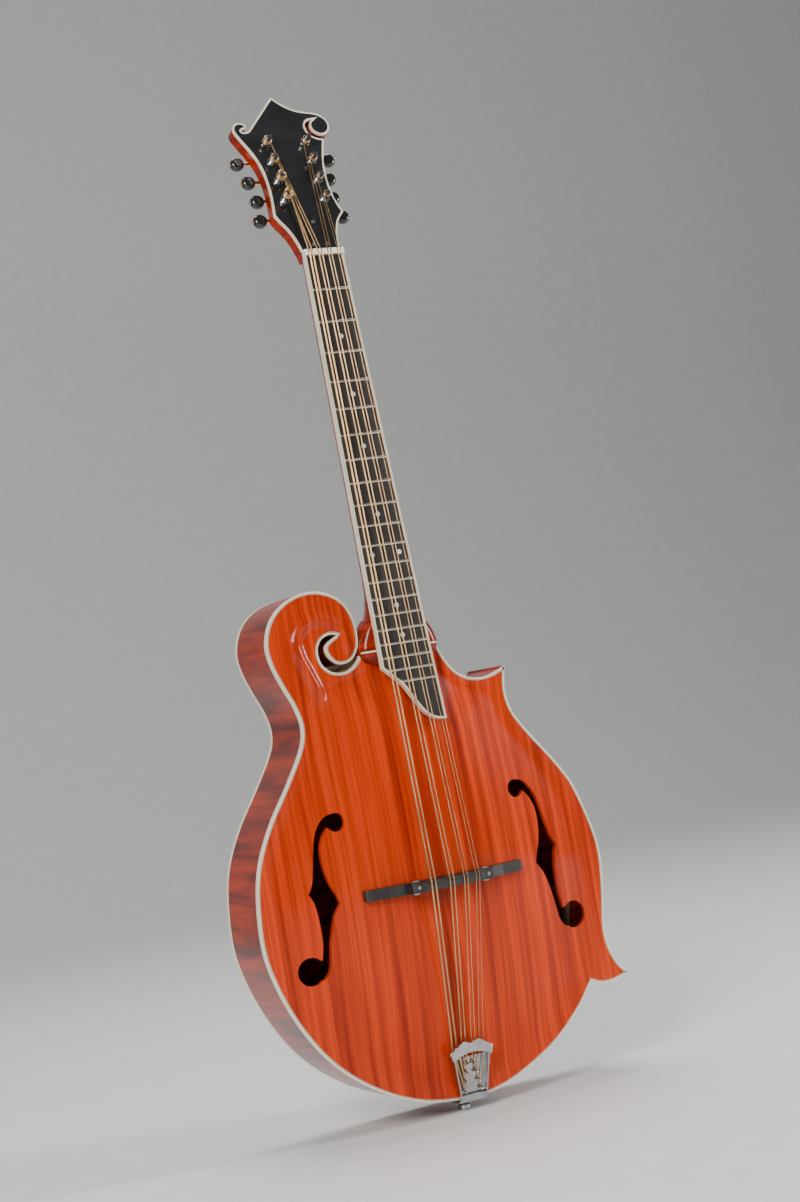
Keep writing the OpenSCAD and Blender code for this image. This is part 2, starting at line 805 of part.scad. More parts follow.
module stud_rods(grow) {
    for (x = [-wheel_x, wheel_x]) translate([x, front_y - saddle_top + 2.5, bridge_z]) rotate([-90, 0, 0])
        cylinder(r = stud_r + grow, h = saddle_top - base_top_mid + 4);
}

module bridge_studs() {
    color(steel) stud_rods(0);
}

module bridge_saddle() {
    low = front_y - saddle_bottom;
    top = front_y - saddle_top;
    color(ebony) difference() {
        intersection() {
            translate([0, 0, bridge_z - 4.8]) linear_extrude(height = 9.6) polygon([
                [-saddle_half, low], [-saddle_half, top + 4], [-saddle_half + 3, top + 1.8], [-32, top + 1],
                [-29, top], [29, top], [32, top + 1], [saddle_half - 3, top + 1.8], [saddle_half, top + 4],
                [saddle_half, low]
            ]);
            translate([-60, 0, bridge_z]) rotate([90, 0, 90]) linear_extrude(height = 120) polygon([
                [low, -4.8], [low, 4.8], [top + 3, 4.8], [top - 0.1, 1.8], [top - 0.1, 0.2], [top + 1.4, -4.8]
            ]);
        }
        stud_rods(0.3);
        translate([0, -5, 0]) stud_rods(0.3);
        for (s = string_set) {
            rod(bar_point(s), saddle_point(s), s[0] + 0.15);
            rod(saddle_point(s), nut_point(s), s[0] + 0.15);
            translate(saddle_point(s)) sphere(r = s[0] + 0.2);
        }
    }
}

module wheel(x) {
    color(steel)
    translate([x, front_y - base_top_mid - wheel_gap, bridge_z]) rotate([90, 0, 0]) difference() {
        union() {
            cylinder(r = wheel_radius - 0.35, h = wheel_thick);
            for (a = [0:15:345]) rotate([0, 0, a]) translate([wheel_radius - 0.7, -0.4, 0.4])
                cube([0.7, 0.8, wheel_thick - 0.8]);
        }
        translate([0, 0, -1]) cylinder(r = stud_r + run_gap, h = wheel_thick + 2);
    }
}

module wheel_bass() {
    wheel(-wheel_x);
}

module wheel_treble() {
    wheel(wheel_x);
}

module tail_frame() {
    translate(tail_foot) rotate([tail_tilt, 0, 0]) children();
}

module tail_front_2d(inset_by) {
    low = tail_half_low - inset_by;
    high = tail_half_high - inset_by;
    polygon([[-low, 6], [low, 6], [low, 15], [high, 60], [-high, 60], [-low, 15]]);
}

module tail_side(points) {
    rotate([90, 0, 90]) translate([0, 0, -30]) linear_extrude(height = 60) polygon(points);
}

// Folded metal tray with eight hooks; its lower end bends over the body's edge to the end button.
module tailpiece_frame() {
    color(steel) difference() {
        union() {
            intersection() {
                tail_side(tail_sheet_profile);
                slab(-60, 40) tail_front_2d(0);
            }
            intersection() {
                tail_side(tail_rim_profile);
                slab(-60, 40) difference() {
                    tail_front_2d(0);
                    intersection() {
                        tail_front_2d(tail_sheet);
                        translate([-40, 16.5]) square([80, 60]);
                    }
                }
            }
            tail_frame() for (p = hook_rows, side = [-1, 1]) {
                root = [side * p[0], -0.7, p[1] + 3];
                tip = [side * p[0], -6.5, p[1] - 0.5];
                rod(root, tip, hook_r);
                translate(tip) sphere(r = hook_r + 0.2);
            }
        }
        translate([0, 0, body_end_z - 4]) cylinder(r = 4.6, h = 5);
        for (x = [-9, 9]) translate([x, -12, body_end_z - 4]) cylinder(r = 1.2, h = 5);
    }
}

module tail_bar_2d() {
    edge = [
        [-23.5, 48.5], [-19, 50.5], [-14, 53.5], [-9.5, 56.6],
        [-6.5, 57.2], [-3.5, 55.6], [0, 54.8], [3.5, 55.6],
        [6.5, 57.2], [9.5, 56.6], [14, 53.5], [19, 50.5], [23.5, 48.5]
    ];
    low = [[20.6, 39.8], [14, 43], [7, 45.2], [0, 46], [-7, 45.2], [-14, 43], [-20.6, 39.8]];
    polygon(concat(smooth(edge, 2), smooth(low, 2)));
}

module tailpiece_bar() {
    color(steel) tail_frame() {
        difference() {
            slab(-11.2, -8.6) tail_bar_2d();
            for (side = [-1, 1]) translate([side * 17, -12.6, 30]) rotate([0, 0, side * 20])
                translate([-12, -3, 0]) cube([24, 3, 40]);
        }
        for (side = [-1, 1]) translate([side * 20.2 - 1, -8.6, 40.4]) cube([2, 8.6, 5]);
    }
}

// Flanged button whose tapered plug fills the bore of the tail block.
module end_button() {
    color(steel) {
        cylinder(r = 6.5, h = 4);
        translate([0, 0, 4]) cylinder(r1 = 6.5, r2 = 4.4, h = 2);
        translate([0, 0, 6]) cylinder(r = 4.4, h = 8);
        translate([0, 0, 8]) cylinder(r = 4.45, h = 24);
    }
}

module screw(head_r, length) {
    difference() {
        cylinder(r = head_r, h = 0.8);
        translate([-head_r, -0.2, -0.01]) cube([2 * head_r, 0.4, 0.4]);
    }
    translate([0, 0, 0.5]) cylinder(r = 0.95, h = length);
}

function plate_screw_v() = [for (k = [0:4]) first_post_v - 15 + post_pitch * k];

module wood_screws() {
    color(steel) {
        head_frame() for (p = cover_screws)
            translate([p[0], -cover_thick - 0.8, p[1]]) rotate([-90, 0, 0]) screw(1.9, 6);
        head_frame() for (x = [-1, 1], v = plate_screw_v())
            translate([x * plate_screw_x, head_thick + plate_thick + 0.8, v])
                rotate([90, 0, 0]) screw(1.7, 7);
        for (x = tail_screw_x)
            translate([x, tail_screw_y, body_end_z - 0.2 - tail_sheet - 0.8]) screw(2.4, 12);
    }
}

module plate_tab(x, v) {
    translate([x - 0.7, head_thick, v - worm_offset - 3.6]) difference() {
        cube([1.4, worm_y - head_thick + 3.4, 7.2]);
        translate([-1, worm_y - head_thick, 3.6]) rotate([0, 90, 0]) cylinder(r = 1.5 + run_gap, h = 4);
    }
}

module tuner_plates() {
    color(gold) head_frame() for (side = [-1, 1]) {
        difference() {
            translate([side > 0 ? 11 : -30.5, head_thick, first_post_v - 19])
                cube([19.5, plate_thick, 3 * post_pitch + 29]);
            for (k = [0:3]) translate([side * post_row_x, head_thick - 1, post_v(k)]) rotate([-90, 0, 0])
                cylinder(r = post_radius + 0.4, h = 5);
            for (v = plate_screw_v()) translate([side * plate_screw_x, head_thick - 1, v]) rotate([-90, 0, 0])
                cylinder(r = 1, h = 5);
        }
        for (k = [0:3], x = [-5.9, 5.9]) plate_tab(side * post_row_x + x, post_v(k));
    }
}

module bushings() {
    color(steel) head_frame() for (x = [-post_row_x, post_row_x], k = [0:3])
        translate([x, 0, post_v(k)]) rotate([-90, 0, 0]) difference() {
            union() {
                translate([0, 0, -1.2]) cylinder(r = bushing_r, h = 1.2);
                cylinder(r = sleeve_r, h = 11);
            }
            translate([0, 0, -3]) cylinder(r = post_radius + run_gap, h = 20);
        }
}

module gear() {
    step = 360 / gear_teeth;
    points = [for (k = [0:gear_teeth - 1]) let (a = k * step - 90 + step / 2) each [
        gear_root * [cos(a - 8), sin(a - 8)], gear_tip * [cos(a - 3.2), sin(a - 3.2)],
        gear_tip * [cos(a + 3.2), sin(a + 3.2)], gear_root * [cos(a + 8), sin(a + 8)]
    ]];
    slab(gear_y, gear_y + gear_thick) polygon(points);
}

// Machines 1 to 4 stand on the bass side from the nut upwards, 5 to 8 on the treble side.
function machine_side(i) = i <= 4 ? -1 : 1;
function machine_row(i) = (i - 1) % 4;

module machine_frame(i) {
    head_frame() translate([machine_side(i) * post_row_x, 0, post_v(machine_row(i))]) children();
}

module tuner_post(i) {
    color(steel) machine_frame(i) difference() {
        union() {
            translate([0, -post_height, 0]) rotate([-90, 0, 0])
                cylinder(r = post_radius, h = post_height + 24);
            gear();
            translate([0, gear_y + gear_thick, 0]) rotate([-90, 0, 0]) cylinder(r = 2.4, h = 2);
        }
        translate([-0.6, -post_height - 1, -5]) cube([1.2, 4, 10]);
        translate([-5, -post_height + 5, 0]) rotate([0, 90, 0]) cylinder(r = 0.9, h = 10);
    }
}

module worm_2d() {
    polygon([for (a = [0:45:315]) let (
        off = abs(a > 180 ? a - 360 : a),
        r = off < 50 ? worm_crest : worm_core
    ) r * [cos(a - 90), sin(a - 90)]]);
}

module tuner_shaft(i) {
    side = machine_side(i);
    half = worm_turns * worm_pitch / 2;
    reach = button_reach[machine_row(i)];
    color(gold) machine_frame(i) translate([0, worm_y, -worm_offset]) {
        translate([-half, 0, 0]) rotate([0, 90, 0])
            linear_extrude(height = 2 * half, twist = -360 * worm_turns, slices = 24, segments = 8) worm_2d();
        rotate([0, side * 90, 0]) {
            translate([0, 0, -7.4]) cylinder(r = 1.5, h = 14.2);
            translate([0, 0, 6.8]) cylinder(r = 1.9, h = reach - button_radius - 6.8 + 1);
            translate([0, 0, 6]) cylinder(r = 1.5, h = reach + button_radius - 6);
            translate([0, 0, reach + button_radius - 0.3]) cylinder(r = 1.9, h = 1.1);
        }
    }
}

module tuner_button(i) {
    side = machine_side(i);
    reach = button_reach[machine_row(i)];
    edge = 3.6;
    color(ebony) machine_frame(i) translate([side * reach, worm_y, -worm_offset]) difference() {
        rotate([90, 0, 0]) rotate_extrude($fn = 64) difference() {
            union() {
                translate([0, -button_thick / 2]) square([button_radius - edge, button_thick]);
                translate([0, -button_thick / 2 + edge]) square([button_radius, button_thick - 2 * edge]);
                for (y = [-1, 1])
                    translate([button_radius - edge, y * (button_thick / 2 - edge)]) circle(r = edge);
            }
            translate([-20, -20]) square([20, 40]);
        }
        rotate([0, side * 90, 0]) {
            translate([0, 0, -button_radius - 2]) cylinder(r = 1.5, h = 2 * button_radius + 4);
            translate([0, 0, -button_radius - 5]) cylinder(r = 1.9, h = 6);
            translate([0, 0, button_radius - 0.3]) cylinder(r = 1.9, h = 4);
        }
    }
}

module tuner_post_1() { tuner_post(1); }
module tuner_post_2() { tuner_post(2); }
module tuner_post_3() { tuner_post(3); }
module tuner_post_4() { tuner_post(4); }
module tuner_post_5() { tuner_post(5); }
module tuner_post_6() { tuner_post(6); }
module tuner_post_7() { tuner_post(7); }
module tuner_post_8() { tuner_post(8); }
module tuner_shaft_1() { tuner_shaft(1); }
module tuner_shaft_2() { tuner_shaft(2); }
module tuner_shaft_3() { tuner_shaft(3); }
module tuner_shaft_4() { tuner_shaft(4); }
module tuner_shaft_5() { tuner_shaft(5); }
module tuner_shaft_6() { tuner_shaft(6); }
module tuner_shaft_7() { tuner_shaft(7); }
module tuner_shaft_8() { tuner_shaft(8); }
module tuner_button_1() { tuner_button(1); }
module tuner_button_2() { tuner_button(2); }
module tuner_button_3() { tuner_button(3); }
module tuner_button_4() { tuner_button(4); }
module tuner_button_5() { tuner_button(5); }
module tuner_button_6() { tuner_button(6); }
module tuner_button_7() { tuner_button(7); }
module tuner_button_8() { tuner_button(8); }

// Points given in the neck's, head's or tailpiece's own frame, turned into the part's frame.
function tip_back(p, a) = [p[0], p[1] * cos(a) + p[2] * sin(a), p[2] * cos(a) - p[1] * sin(a)];
function from_neck(p) = [0, front_y - board_rise, bridge_z - 2] + tip_back(p, neck_angle);
function from_head(p) = from_neck([0, head_drop, scale_length] + tip_back(p, head_angle));
function from_tail(p) = tail_foot + tip_back(p, -tail_tilt);
function string_machine(i) = i < 4 ? i + 1 : 12 - i;
function bar_point(s) = [s[3], bar_y, bar_z];
function saddle_point(s) = [s[2], front_y - saddle_top - 0.2 + 0.1 * s[0], bridge_z + 1];
function nut_point(s) = from_neck([s[1], -nut_rise - 0.05, scale_length]);

module cord(p, q, r) {
    hull() {
        translate(p) sphere(r = r, $fn = 8);
        translate(q) sphere(r = r, $fn = 8);
    }
}

module string(i) {
    s = string_set[i];
    r = s[0];
    m = string_machine(i);
    side = machine_side(m);
    v = post_v(machine_row(m));
    coil = post_radius + 0.3 + r;
    wrap = -2.8 - 1.7 * (3 - machine_row(m));
    hook = hook_rows[i < 4 ? 3 - i : i - 4];
    hook_side = i < 4 ? -1 : 1;
    ring = hook_r + 0.55;
    path = [
        from_tail([hook_side * hook[0], -4.2, hook[1] + 0.9 + ring]),
        bar_point(s), saddle_point(s), nut_point(s),
        from_neck([s[1], -nut_rise + 0.05, scale_length + 3]),
        from_head([side * (post_row_x - coil), wrap, v])
    ];
    for (k = [0:len(path) - 2]) cord(path[k], path[k + 1], r);
    translate(from_tail([hook_side * hook[0], -4.2, hook[1] + 0.9])) rotate([90 + tail_tilt, 0, 0])
        rotate_extrude($fn = 12) translate([ring, 0]) circle(r = 0.3, $fn = 6);
    head_frame() for (turn = [0:2]) translate([side * post_row_x, wrap - 1.6 * r * turn, v])
        rotate([90, 0, 0]) rotate_extrude($fn = 20) translate([coil, 0]) circle(r = r, $fn = 6);
}

module strings() {
    color(bronze) for (i = [0:7]) string(i);
}

top_plate();
back_plate();
rib_bass();
rib_treble_upper();
rib_treble_waist();
rib_treble_lower();
head_block();
tail_block();
point_blocks();
linings();
tone_bars();
top_binding();
back_binding();
neck();
head_overlay();
head_binding();
truss_rod();
truss_cover();
fingerboard();
fingerboard_binding();
frets();
position_dots();
nut();
bridge_base();
bridge_studs();
bridge_saddle();
wheel_bass();
wheel_treble();
tailpiece_frame();
tailpiece_bar();
end_button();
wood_screws();
tuner_plates();
bushings();
tuner_post_1();
tuner_post_2();
tuner_post_3();
tuner_post_4();
tuner_post_5();
tuner_post_6();
tuner_post_7();
tuner_post_8();
tuner_shaft_1();
tuner_shaft_2();
tuner_shaft_3();
tuner_shaft_4();
tuner_shaft_5();
tuner_shaft_6();
tuner_shaft_7();
tuner_shaft_8();
tuner_button_1();
tuner_button_2();
tuner_button_3();
tuner_button_4();
tuner_button_5();
tuner_button_6();
tuner_button_7();
tuner_button_8();
strings();
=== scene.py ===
"""Scroll-body mandocello: carved plates, bent ribs, neck, strings and finishes over the CAD frame."""

import math

import bpy
import numpy as np
from mathutils import Matrix, Vector
from mathutils.geometry import delaunay_2d_cdt


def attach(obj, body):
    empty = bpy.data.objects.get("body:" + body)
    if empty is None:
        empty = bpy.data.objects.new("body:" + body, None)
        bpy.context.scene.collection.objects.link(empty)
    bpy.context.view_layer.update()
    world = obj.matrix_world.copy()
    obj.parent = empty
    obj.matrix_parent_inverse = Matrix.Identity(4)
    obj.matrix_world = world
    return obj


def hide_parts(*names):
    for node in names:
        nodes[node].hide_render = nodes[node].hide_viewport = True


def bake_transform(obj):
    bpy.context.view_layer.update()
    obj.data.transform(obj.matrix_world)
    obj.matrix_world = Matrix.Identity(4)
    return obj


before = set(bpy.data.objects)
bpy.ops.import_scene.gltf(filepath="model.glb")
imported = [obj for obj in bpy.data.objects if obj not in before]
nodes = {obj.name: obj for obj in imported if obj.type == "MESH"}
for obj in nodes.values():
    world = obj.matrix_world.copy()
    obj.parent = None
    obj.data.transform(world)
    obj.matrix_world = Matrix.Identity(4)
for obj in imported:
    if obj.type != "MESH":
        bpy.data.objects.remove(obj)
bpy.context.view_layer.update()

# All shapes below are in millimetres, in the same frame as the CAD model.
MM = 0.001
FRONT_Y = -20.0  # front and back planes of the rim
BACK_Y = 62.0
PLATE = 5.0  # thickness of both plates at their edge
PROUD = 0.1  # how far a plate stands out of the rim at its edge
TOP_RISE = 20.0  # height of the two arches at the middle
BACK_RISE = 16.0
BINDING = 2.7  # width of the edge bindings
RIB = 2.5  # thickness of the ribs, and how far they sit inside the binding
RIB_SINK = 0.15
JOINT_Z = 452.0  # plane where neck and body meet
HEEL_BUTTON_R = 15.0
BRIDGE_Z = 223.0
SADDLE_RISE = 43.2  # top of the saddle in front of the rim
SCALE = 628.65
NECK_ORIGIN = [0, FRONT_Y - 37.5, BRIDGE_Z - 2]  # where the neck, head and tailpiece frames start
HEAD_ORIGIN = [0, 2.5, SCALE]
TAIL_ORIGIN = [0, FRONT_Y - 0.5, 13.5]
NECK_TILT = 5.0  # and how far each leans back, degrees
HEAD_TILT = 14.0
TAIL_TILT = -6.7
BOARD = 6.5  # thickness of the fingerboard
BOARD_HALF = 21.0  # its half width at the nut, and how much wider it is at its body end
BOARD_SPREAD = 7.7
BOARD_END = 156.0  # distance of that end from the bridge
HEAD_THICK = 14.5
OVERLAY = 2.6  # thickness of the black face of the head
POST_X = 21.7  # the posts: off the centre line, first one past the nut, spacing and radius
POST_V = 66.5
POST_PITCH = 23.0
POST_R = 3.0
HOOK_Y = -4.2  # the hooks of the tailpiece, in its own leaning frame
HOOK_R = 0.9
LOOP_R = 1.65

# Front outline of the body, [x, z], clockwise from the tail.
BASS_SIDE = [
    [0, 11], [-50, 19], [-97, 41], [-137, 75], [-166, 120], [-184, 170], [-187.5, 210], [-181, 260],
    [-163.5, 300], [-136.5, 340], [-118, 370], [-113, 390], [-117, 410], [-125.5, 430], [-133, 450],
    [-136, 469], [-131.5, 487], [-122, 501], [-108, 511], [-92, 516.3], [-76, 516.6], [-60, 511],
    [-48.5, 501], [-42, 487], [-40, 472], [-41.5, 459], [-47.5, 449], [-56, 444.3], [-65.5, 444.8],
    [-72.5, 451], [-75.5, 459], [-73, 465.5], [-61, 472.5]
]
SCROLL_SLOT = [
    [-61, 472.5], [-69, 473.7], [-77, 471], [-82.5, 464.5], [-84, 456], [-82, 447], [-76, 440],
    [-67.5, 436.3], [-58, 436.3], [-49.5, 440], [-43, 446.5], [-41, 452]
]
TREBLE_SHOULDER = [
    [42, 452], [45, 442], [52, 428.5], [60, 419], [70, 413], [80, 410.6], [90, 410.5], [100, 412.6],
    [114, 417.5]
]
TREBLE_WAIST = [
    [114, 417.5], [111, 407], [109.4, 390], [114, 371], [127, 350], [142, 330], [156, 310],
    [167.5, 290], [177.5, 260], [184, 232], [185, 210], [181.8, 180], [177, 152], [176, 135],
    [179, 119], [186, 104.5], [194.7, 94.5]
]
POINT_END = [[194.7, 94.5], [182, 90.5], [170, 89], [160, 90.3], [151.4, 94]]
TREBLE_BOUT = [[151.4, 94], [131, 70], [100, 44.5], [60, 24], [30, 14.5], [0, 11]]
# Line where each arch ends, [x, z], and the places on the centre line it is drawn to, z.
ARCH_BASS = [
    [0, 13], [-50, 21], [-97, 43], [-137, 77], [-166, 120], [-184, 170], [-187, 215], [-180, 260],
    [-162, 300], [-135, 340], [-117, 370], [-111, 392], [-104, 410], [-92, 424], [-74, 432],
    [-44, 438], [0, 444]
]
ARCH_TREBLE = [
    [0, 13], [50, 21], [97, 43], [137, 77], [163, 117], [175, 162], [182, 207], [176.5, 257],
    [161, 298], [134, 340], [113, 371], [107, 391], [97, 404], [80, 408], [62, 415], [43, 431],
    [0, 444]
]
SPINE_Z = [180, 185, 195, 207, 223, 242, 257, 272, 287, 303, 315, 325, 335, 345, 353, 361, 370]
# Treble sound hole, [x, z]; the bass one is its mirror image.
F_STEM_OUTER = [
    [98, 305.6], [105, 304.5], [110.5, 301.4], [115.5, 296], [119.3, 289.5], [122.3, 281], [124.8, 270],
    [127.6, 256], [129.8, 246], [132, 240.5], [135.6, 234.3]
]
F_STEM_LOWER = [[135.6, 234.3], [132, 227], [129.6, 213], [128.9, 198], [129.3, 185], [132, 171.5]]
F_EYE_LOW = [143.5, 163]
F_EYE_LOW_R = 13.4
F_EYE_HIGH = [98, 296.8]
F_EYE_HIGH_R = 8.9
F_STEM_INNER = [
    [131.5, 153.6], [126, 161], [123.4, 173], [121, 187], [118, 199], [114.5, 209.3], [111, 215.5],
    [106.9, 220.7]
]
F_STEM_UPPER = [
    [106.9, 220.7], [109, 228.5], [113, 238], [116.2, 250], [117.7, 263], [117, 274], [114.5, 282],
    [111, 288], [106.5, 293.2]
]
# Crest carved from the top up into the scroll, [x, z].
SCROLL_RIDGE = [
    [-84, 387], [-88, 411], [-96, 436], [-104, 457], [-105, 472], [-97, 485], [-83, 491], [-68, 486.5],
    [-58, 476], [-51, 461]
]
# Neck sections: place along the strings from the bridge, half width, depth, fullness.
NECK_SECTIONS = [
    [637, 20.9, 12, 1], [600, 21.5, 14.6, 1], [520, 22.8, 15.4, 1], [420, 24.4, 16.4, 1],
    [320, 26, 17.6, 1], [300, 26.3, 19, 0.95], [286, 26.5, 24, 0.9], [274, 26.6, 34, 0.85],
    [264, 26.7, 50, 0.8], [255, 26.8, 68, 0.78], [246, 26.9, 84, 0.76], [232, 27, 98, 0.75],
    [215, 27, 106, 0.75]
]
# Outer edge of the bass shoulder beside the board, [x, z].
EAR_EDGE = [
    [-27, 483], [-32, 477], [-37, 468.5], [-40.5, 460],
    [-42, 451], [-39, 444], [-34, 440], [-27, 438]
]
# Outline of the head, [x, distance past the nut], anticlockwise from the treble end of the nut.
HEAD_RIGHT = [
    [21, 0], [21, 9], [22.3, 20], [26, 33], [31, 42.5], [37.8, 50]
]
HEAD_RIGHT_WAIST = [
    [37.8, 50], [34.6, 60], [32.6, 70], [31.8, 82], [32.4, 94], [34.3, 108], [37.8, 121], [43.5, 138.3]
]
HEAD_SLOT_OUTER = [
    [43.5, 138.3], [38, 139.4], [32.5, 142], [28.4, 147], [26.9, 153], [28.6, 158.6], [32.5, 162], [38, 163]
]
HEAD_SCROLL = [
    [38, 163], [34.4, 160], [32.8, 155.5], [33.6, 150.3], [37, 146.2], [41.5, 144], [46.5, 144.4],
    [51, 147.3], [54, 152.3], [54.6, 158], [52.6, 163.4], [49, 167.2], [44.5, 169.7], [38, 171.5],
    [30, 172.8], [24, 174.2], [18, 176.6], [11, 181], [5, 186.2], [0, 191.5]
]
HEAD_SLOPE = [[0, 191.5], [-34, 153.5]]
HEAD_CURL_NOTCH = [
    [-34, 153.5], [-36.2, 151.2], [-39.4, 149.9], [-42.6, 149.9], [-44, 151.6], [-42, 153.4], [-38.4, 154.3]
]
HEAD_CURL = [
    [-38.4, 154.3], [-37.6, 157], [-39.5, 160], [-43.6, 161.5], [-48.2, 160.5], [-51.6, 157.3],
    [-52.8, 153], [-51.8, 148], [-49, 141.5], [-45.8, 135], [-42.5, 128], [-39.8, 121.5],
    [-37.2, 113.5], [-35.4, 104.5], [-34.5, 95], [-34.4, 85], [-35, 74], [-36.4, 62], [-38.4, 49.5]
]
HEAD_LEFT = [[-38.4, 49.5], [-35, 42.5], [-31, 36], [-27.3, 28.5], [-24.4, 20], [-22, 9], [-21, 0]]
# Each string, thickest first: radius, then x at the nut, the saddle and the tailpiece bar.
STRING_SET = [
    [0.95, -16.7, -25.8, -16.5], [0.95, -13.1, -21.5, -12.1], [0.7, -6.8, -6.1, -6.6],
    [0.7, -3.1, -1.9, -2.4], [0.5, 3.7, 9.3, 3.8], [0.5, 7.1, 13, 7.8], [0.35, 14.3, 22.1, 12.2],
    [0.35, 17.4, 25.7, 16.6]
]
# Tailpiece hooks: distance from the centre line, and place up the tailpiece.
HOOK_ROWS = [[3.2, 33], [5.2, 24.5], [7.3, 16], [9, 7.5]]

SURFACE_STEPS = 7


# ---------------------------------------------------------------- curves and placing

def curve(points, steps=SURFACE_STEPS):
    """A smooth curve through given points."""
    p = [np.array(q, float) for q in points]
    p = [2 * p[0] - p[1]] + p + [2 * p[-1] - p[-2]]
    out = []
    for a, b, c, d in zip(p, p[1:], p[2:], p[3:]):
        for k in range(steps):
            t = k / steps
            out.append(0.5 * (2 * b + (c - a) * t + (2 * a - 5 * b + 4 * c - d) * t**2
                              + (3 * b - a - 3 * c + d) * t**3))
    out.append(p[-2])
    return np.array(out)


def chain(*curves):
    """Curves joined end to end, their shared points once."""
    out = [curves[0]]
    for c in curves[1:]:
        same = np.allclose(out[-1][-1], c[0])
        out.append(c[1:] if same else c)
    joined = np.concatenate(out)
    return joined[:-1] if np.allclose(joined[0], joined[-1]) else joined


def inset(points, width, closed=True):
    """A clockwise outline moved inwards, its corners mitred."""
    if closed:
        before, after = np.roll(points, 1, 0), np.roll(points, -1, 0)
    else:
        before = np.vstack([2 * points[0] - points[1], points[:-1]])
        after = np.vstack([points[1:], 2 * points[-1] - points[-2]])

    def right(d):
        return np.stack([d[:, 1], -d[:, 0]], 1) / np.linalg.norm(d, axis=1)[:, None]

    n1, n2 = right(points - before), right(after - points)
    grow = np.maximum(1 + (n1 * n2).sum(1), 0.5)[:, None]
    return points + width * (n1 + n2) / grow


def tip(p, degrees):
    """Turns a point of a frame that leans back by an angle about X."""
    c, s = math.cos(math.radians(degrees)), math.sin(math.radians(degrees))
    p = np.asarray(p, float)
    return np.stack([p[..., 0], p[..., 1] * c + p[..., 2] * s, p[..., 2] * c - p[..., 1] * s], -1)


def from_neck(p):
    """A point given along the strings, from the foot of the bridge, in the body's frame."""
    return np.array(NECK_ORIGIN) + tip(p, NECK_TILT)


def from_head(p):
    """A point given along the head's face, from the nut, in the body's frame."""
    return from_neck(np.array(HEAD_ORIGIN) + tip(p, HEAD_TILT))


def from_tail(p):
    """A point given along the tailpiece, from its bend at the tail, in the body's frame."""
    return np.array(TAIL_ORIGIN) + tip(p, TAIL_TILT)


def inside(points, loop):
    """Which [x, z] points lie inside a closed loop."""
    x, z = points[:, 0], points[:, 1]
    hit = np.zeros(len(points), bool)
    for (x0, z0), (x1, z1) in zip(loop, np.roll(loop, -1, 0)):
        if z0 != z1:
            hit ^= ((z0 > z) != (z1 > z)) & (x < (x1 - x0) * (z - z0) / (z1 - z0) + x0)
    return hit


def within(points, outline, holes):
    """Which points lie inside an outline and outside its holes."""
    good = inside(points, outline)
    for loop in holes:
        good &= ~inside(points, loop)
    return good


def closed_path(loop):
    return np.vstack([loop, loop[:1]])


def distance(points, path):
    """Distance of [x, z] points from a path given by close points."""
    best = np.full(len(points), 1e9)
    for a, b in zip(path[:-1], path[1:]):
        d = b - a
        t = np.clip(((points - a) @ d) / (d @ d), 0, 1)
        best = np.minimum(best, np.linalg.norm(points - a - t[:, None] * d, axis=1))
    return best


# ---------------------------------------------------------------- meshes

def add_piece(name, verts, faces, body, mat, stands_for=(), angle=38):
    """A visible piece in millimetres that rides a body and may stand for CAD nodes."""
    mesh = bpy.data.meshes.new(name)
    mesh.from_pydata((np.asarray(verts, float) * MM).tolist(), [], [list(map(int, f)) for f in faces])
    mesh.validate()
    obj = bpy.data.objects.new(name, mesh)
    bpy.context.scene.collection.objects.link(obj)
    mesh.materials.append(mat)
    shade(obj, angle)
    if body:
        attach(obj, body)
    if stands_for:
        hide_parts(*stands_for)
    return obj


def shade(obj, angle):
    """Smooth shading, with edges kept sharp above an angle in degrees."""
    mesh = obj.data
    mesh.polygons.foreach_set("use_smooth", [True] * len(mesh.polygons))
    mesh.set_sharp_from_angle(angle=math.radians(angle))


def soften(obj, width, segments=2):
    """Rounds the sharp edges of a piece."""
    bevel = obj.modifiers.new("edge", "BEVEL")
    bevel.width = width * MM
    bevel.segments = segments
    bevel.limit_method = "ANGLE"
    bevel.angle_limit = math.radians(40)
    bevel.harden_normals = False
    return obj


def lattice(x0, x1, z0, z1, step):
    """Points of a triangular grid over a rectangle."""
    gx, gz = np.meshgrid(np.arange(x0, x1, step), np.arange(z0, z1, step))
    gx[1::2] += step / 2
    return np.stack([gx.ravel(), gz.ravel()], 1)


def fill_sheet(outline, holes, spacing, fine=None):
    """Triangles that fill an outline, with holes left open. fine is (x0, x1, z0, z1, spacing)."""
    low, high = outline.min(0), outline.max(0)
    clear = 0.6  # distance kept from the loops, as a share of the spacing
    grid = lattice(low[0], high[0], low[1], high[1], spacing)
    reach = np.full(len(grid), clear * spacing)
    if fine:
        x0, x1, z0, z1, step = fine
        keep = ~((grid[:, 0] > x0) & (grid[:, 0] < x1) & (grid[:, 1] > z0) & (grid[:, 1] < z1))
        extra = lattice(*fine)
        grid = np.vstack([grid[keep], extra])
        reach = np.concatenate([reach[keep], np.full(len(extra), clear * step)])
    loops = [outline] + holes
    good = within(grid, outline, holes)
    for loop in loops:
        good &= distance(grid, closed_path(loop)) > reach
    points = np.vstack(loops + [grid[good]])
    edges, first = [], 0
    for loop in loops:
        edges += [(first + i, first + (i + 1) % len(loop)) for i in range(len(loop))]
        first += len(loop)
    result = delaunay_2d_cdt([Vector(p) for p in points], edges, [], 0, 1e-5)
    verts = np.array([tuple(v) for v in result[0]])
    faces = np.array([f for f in result[2] if len(f) == 3])
    return verts, faces[within(verts[faces].mean(1), outline, holes)]


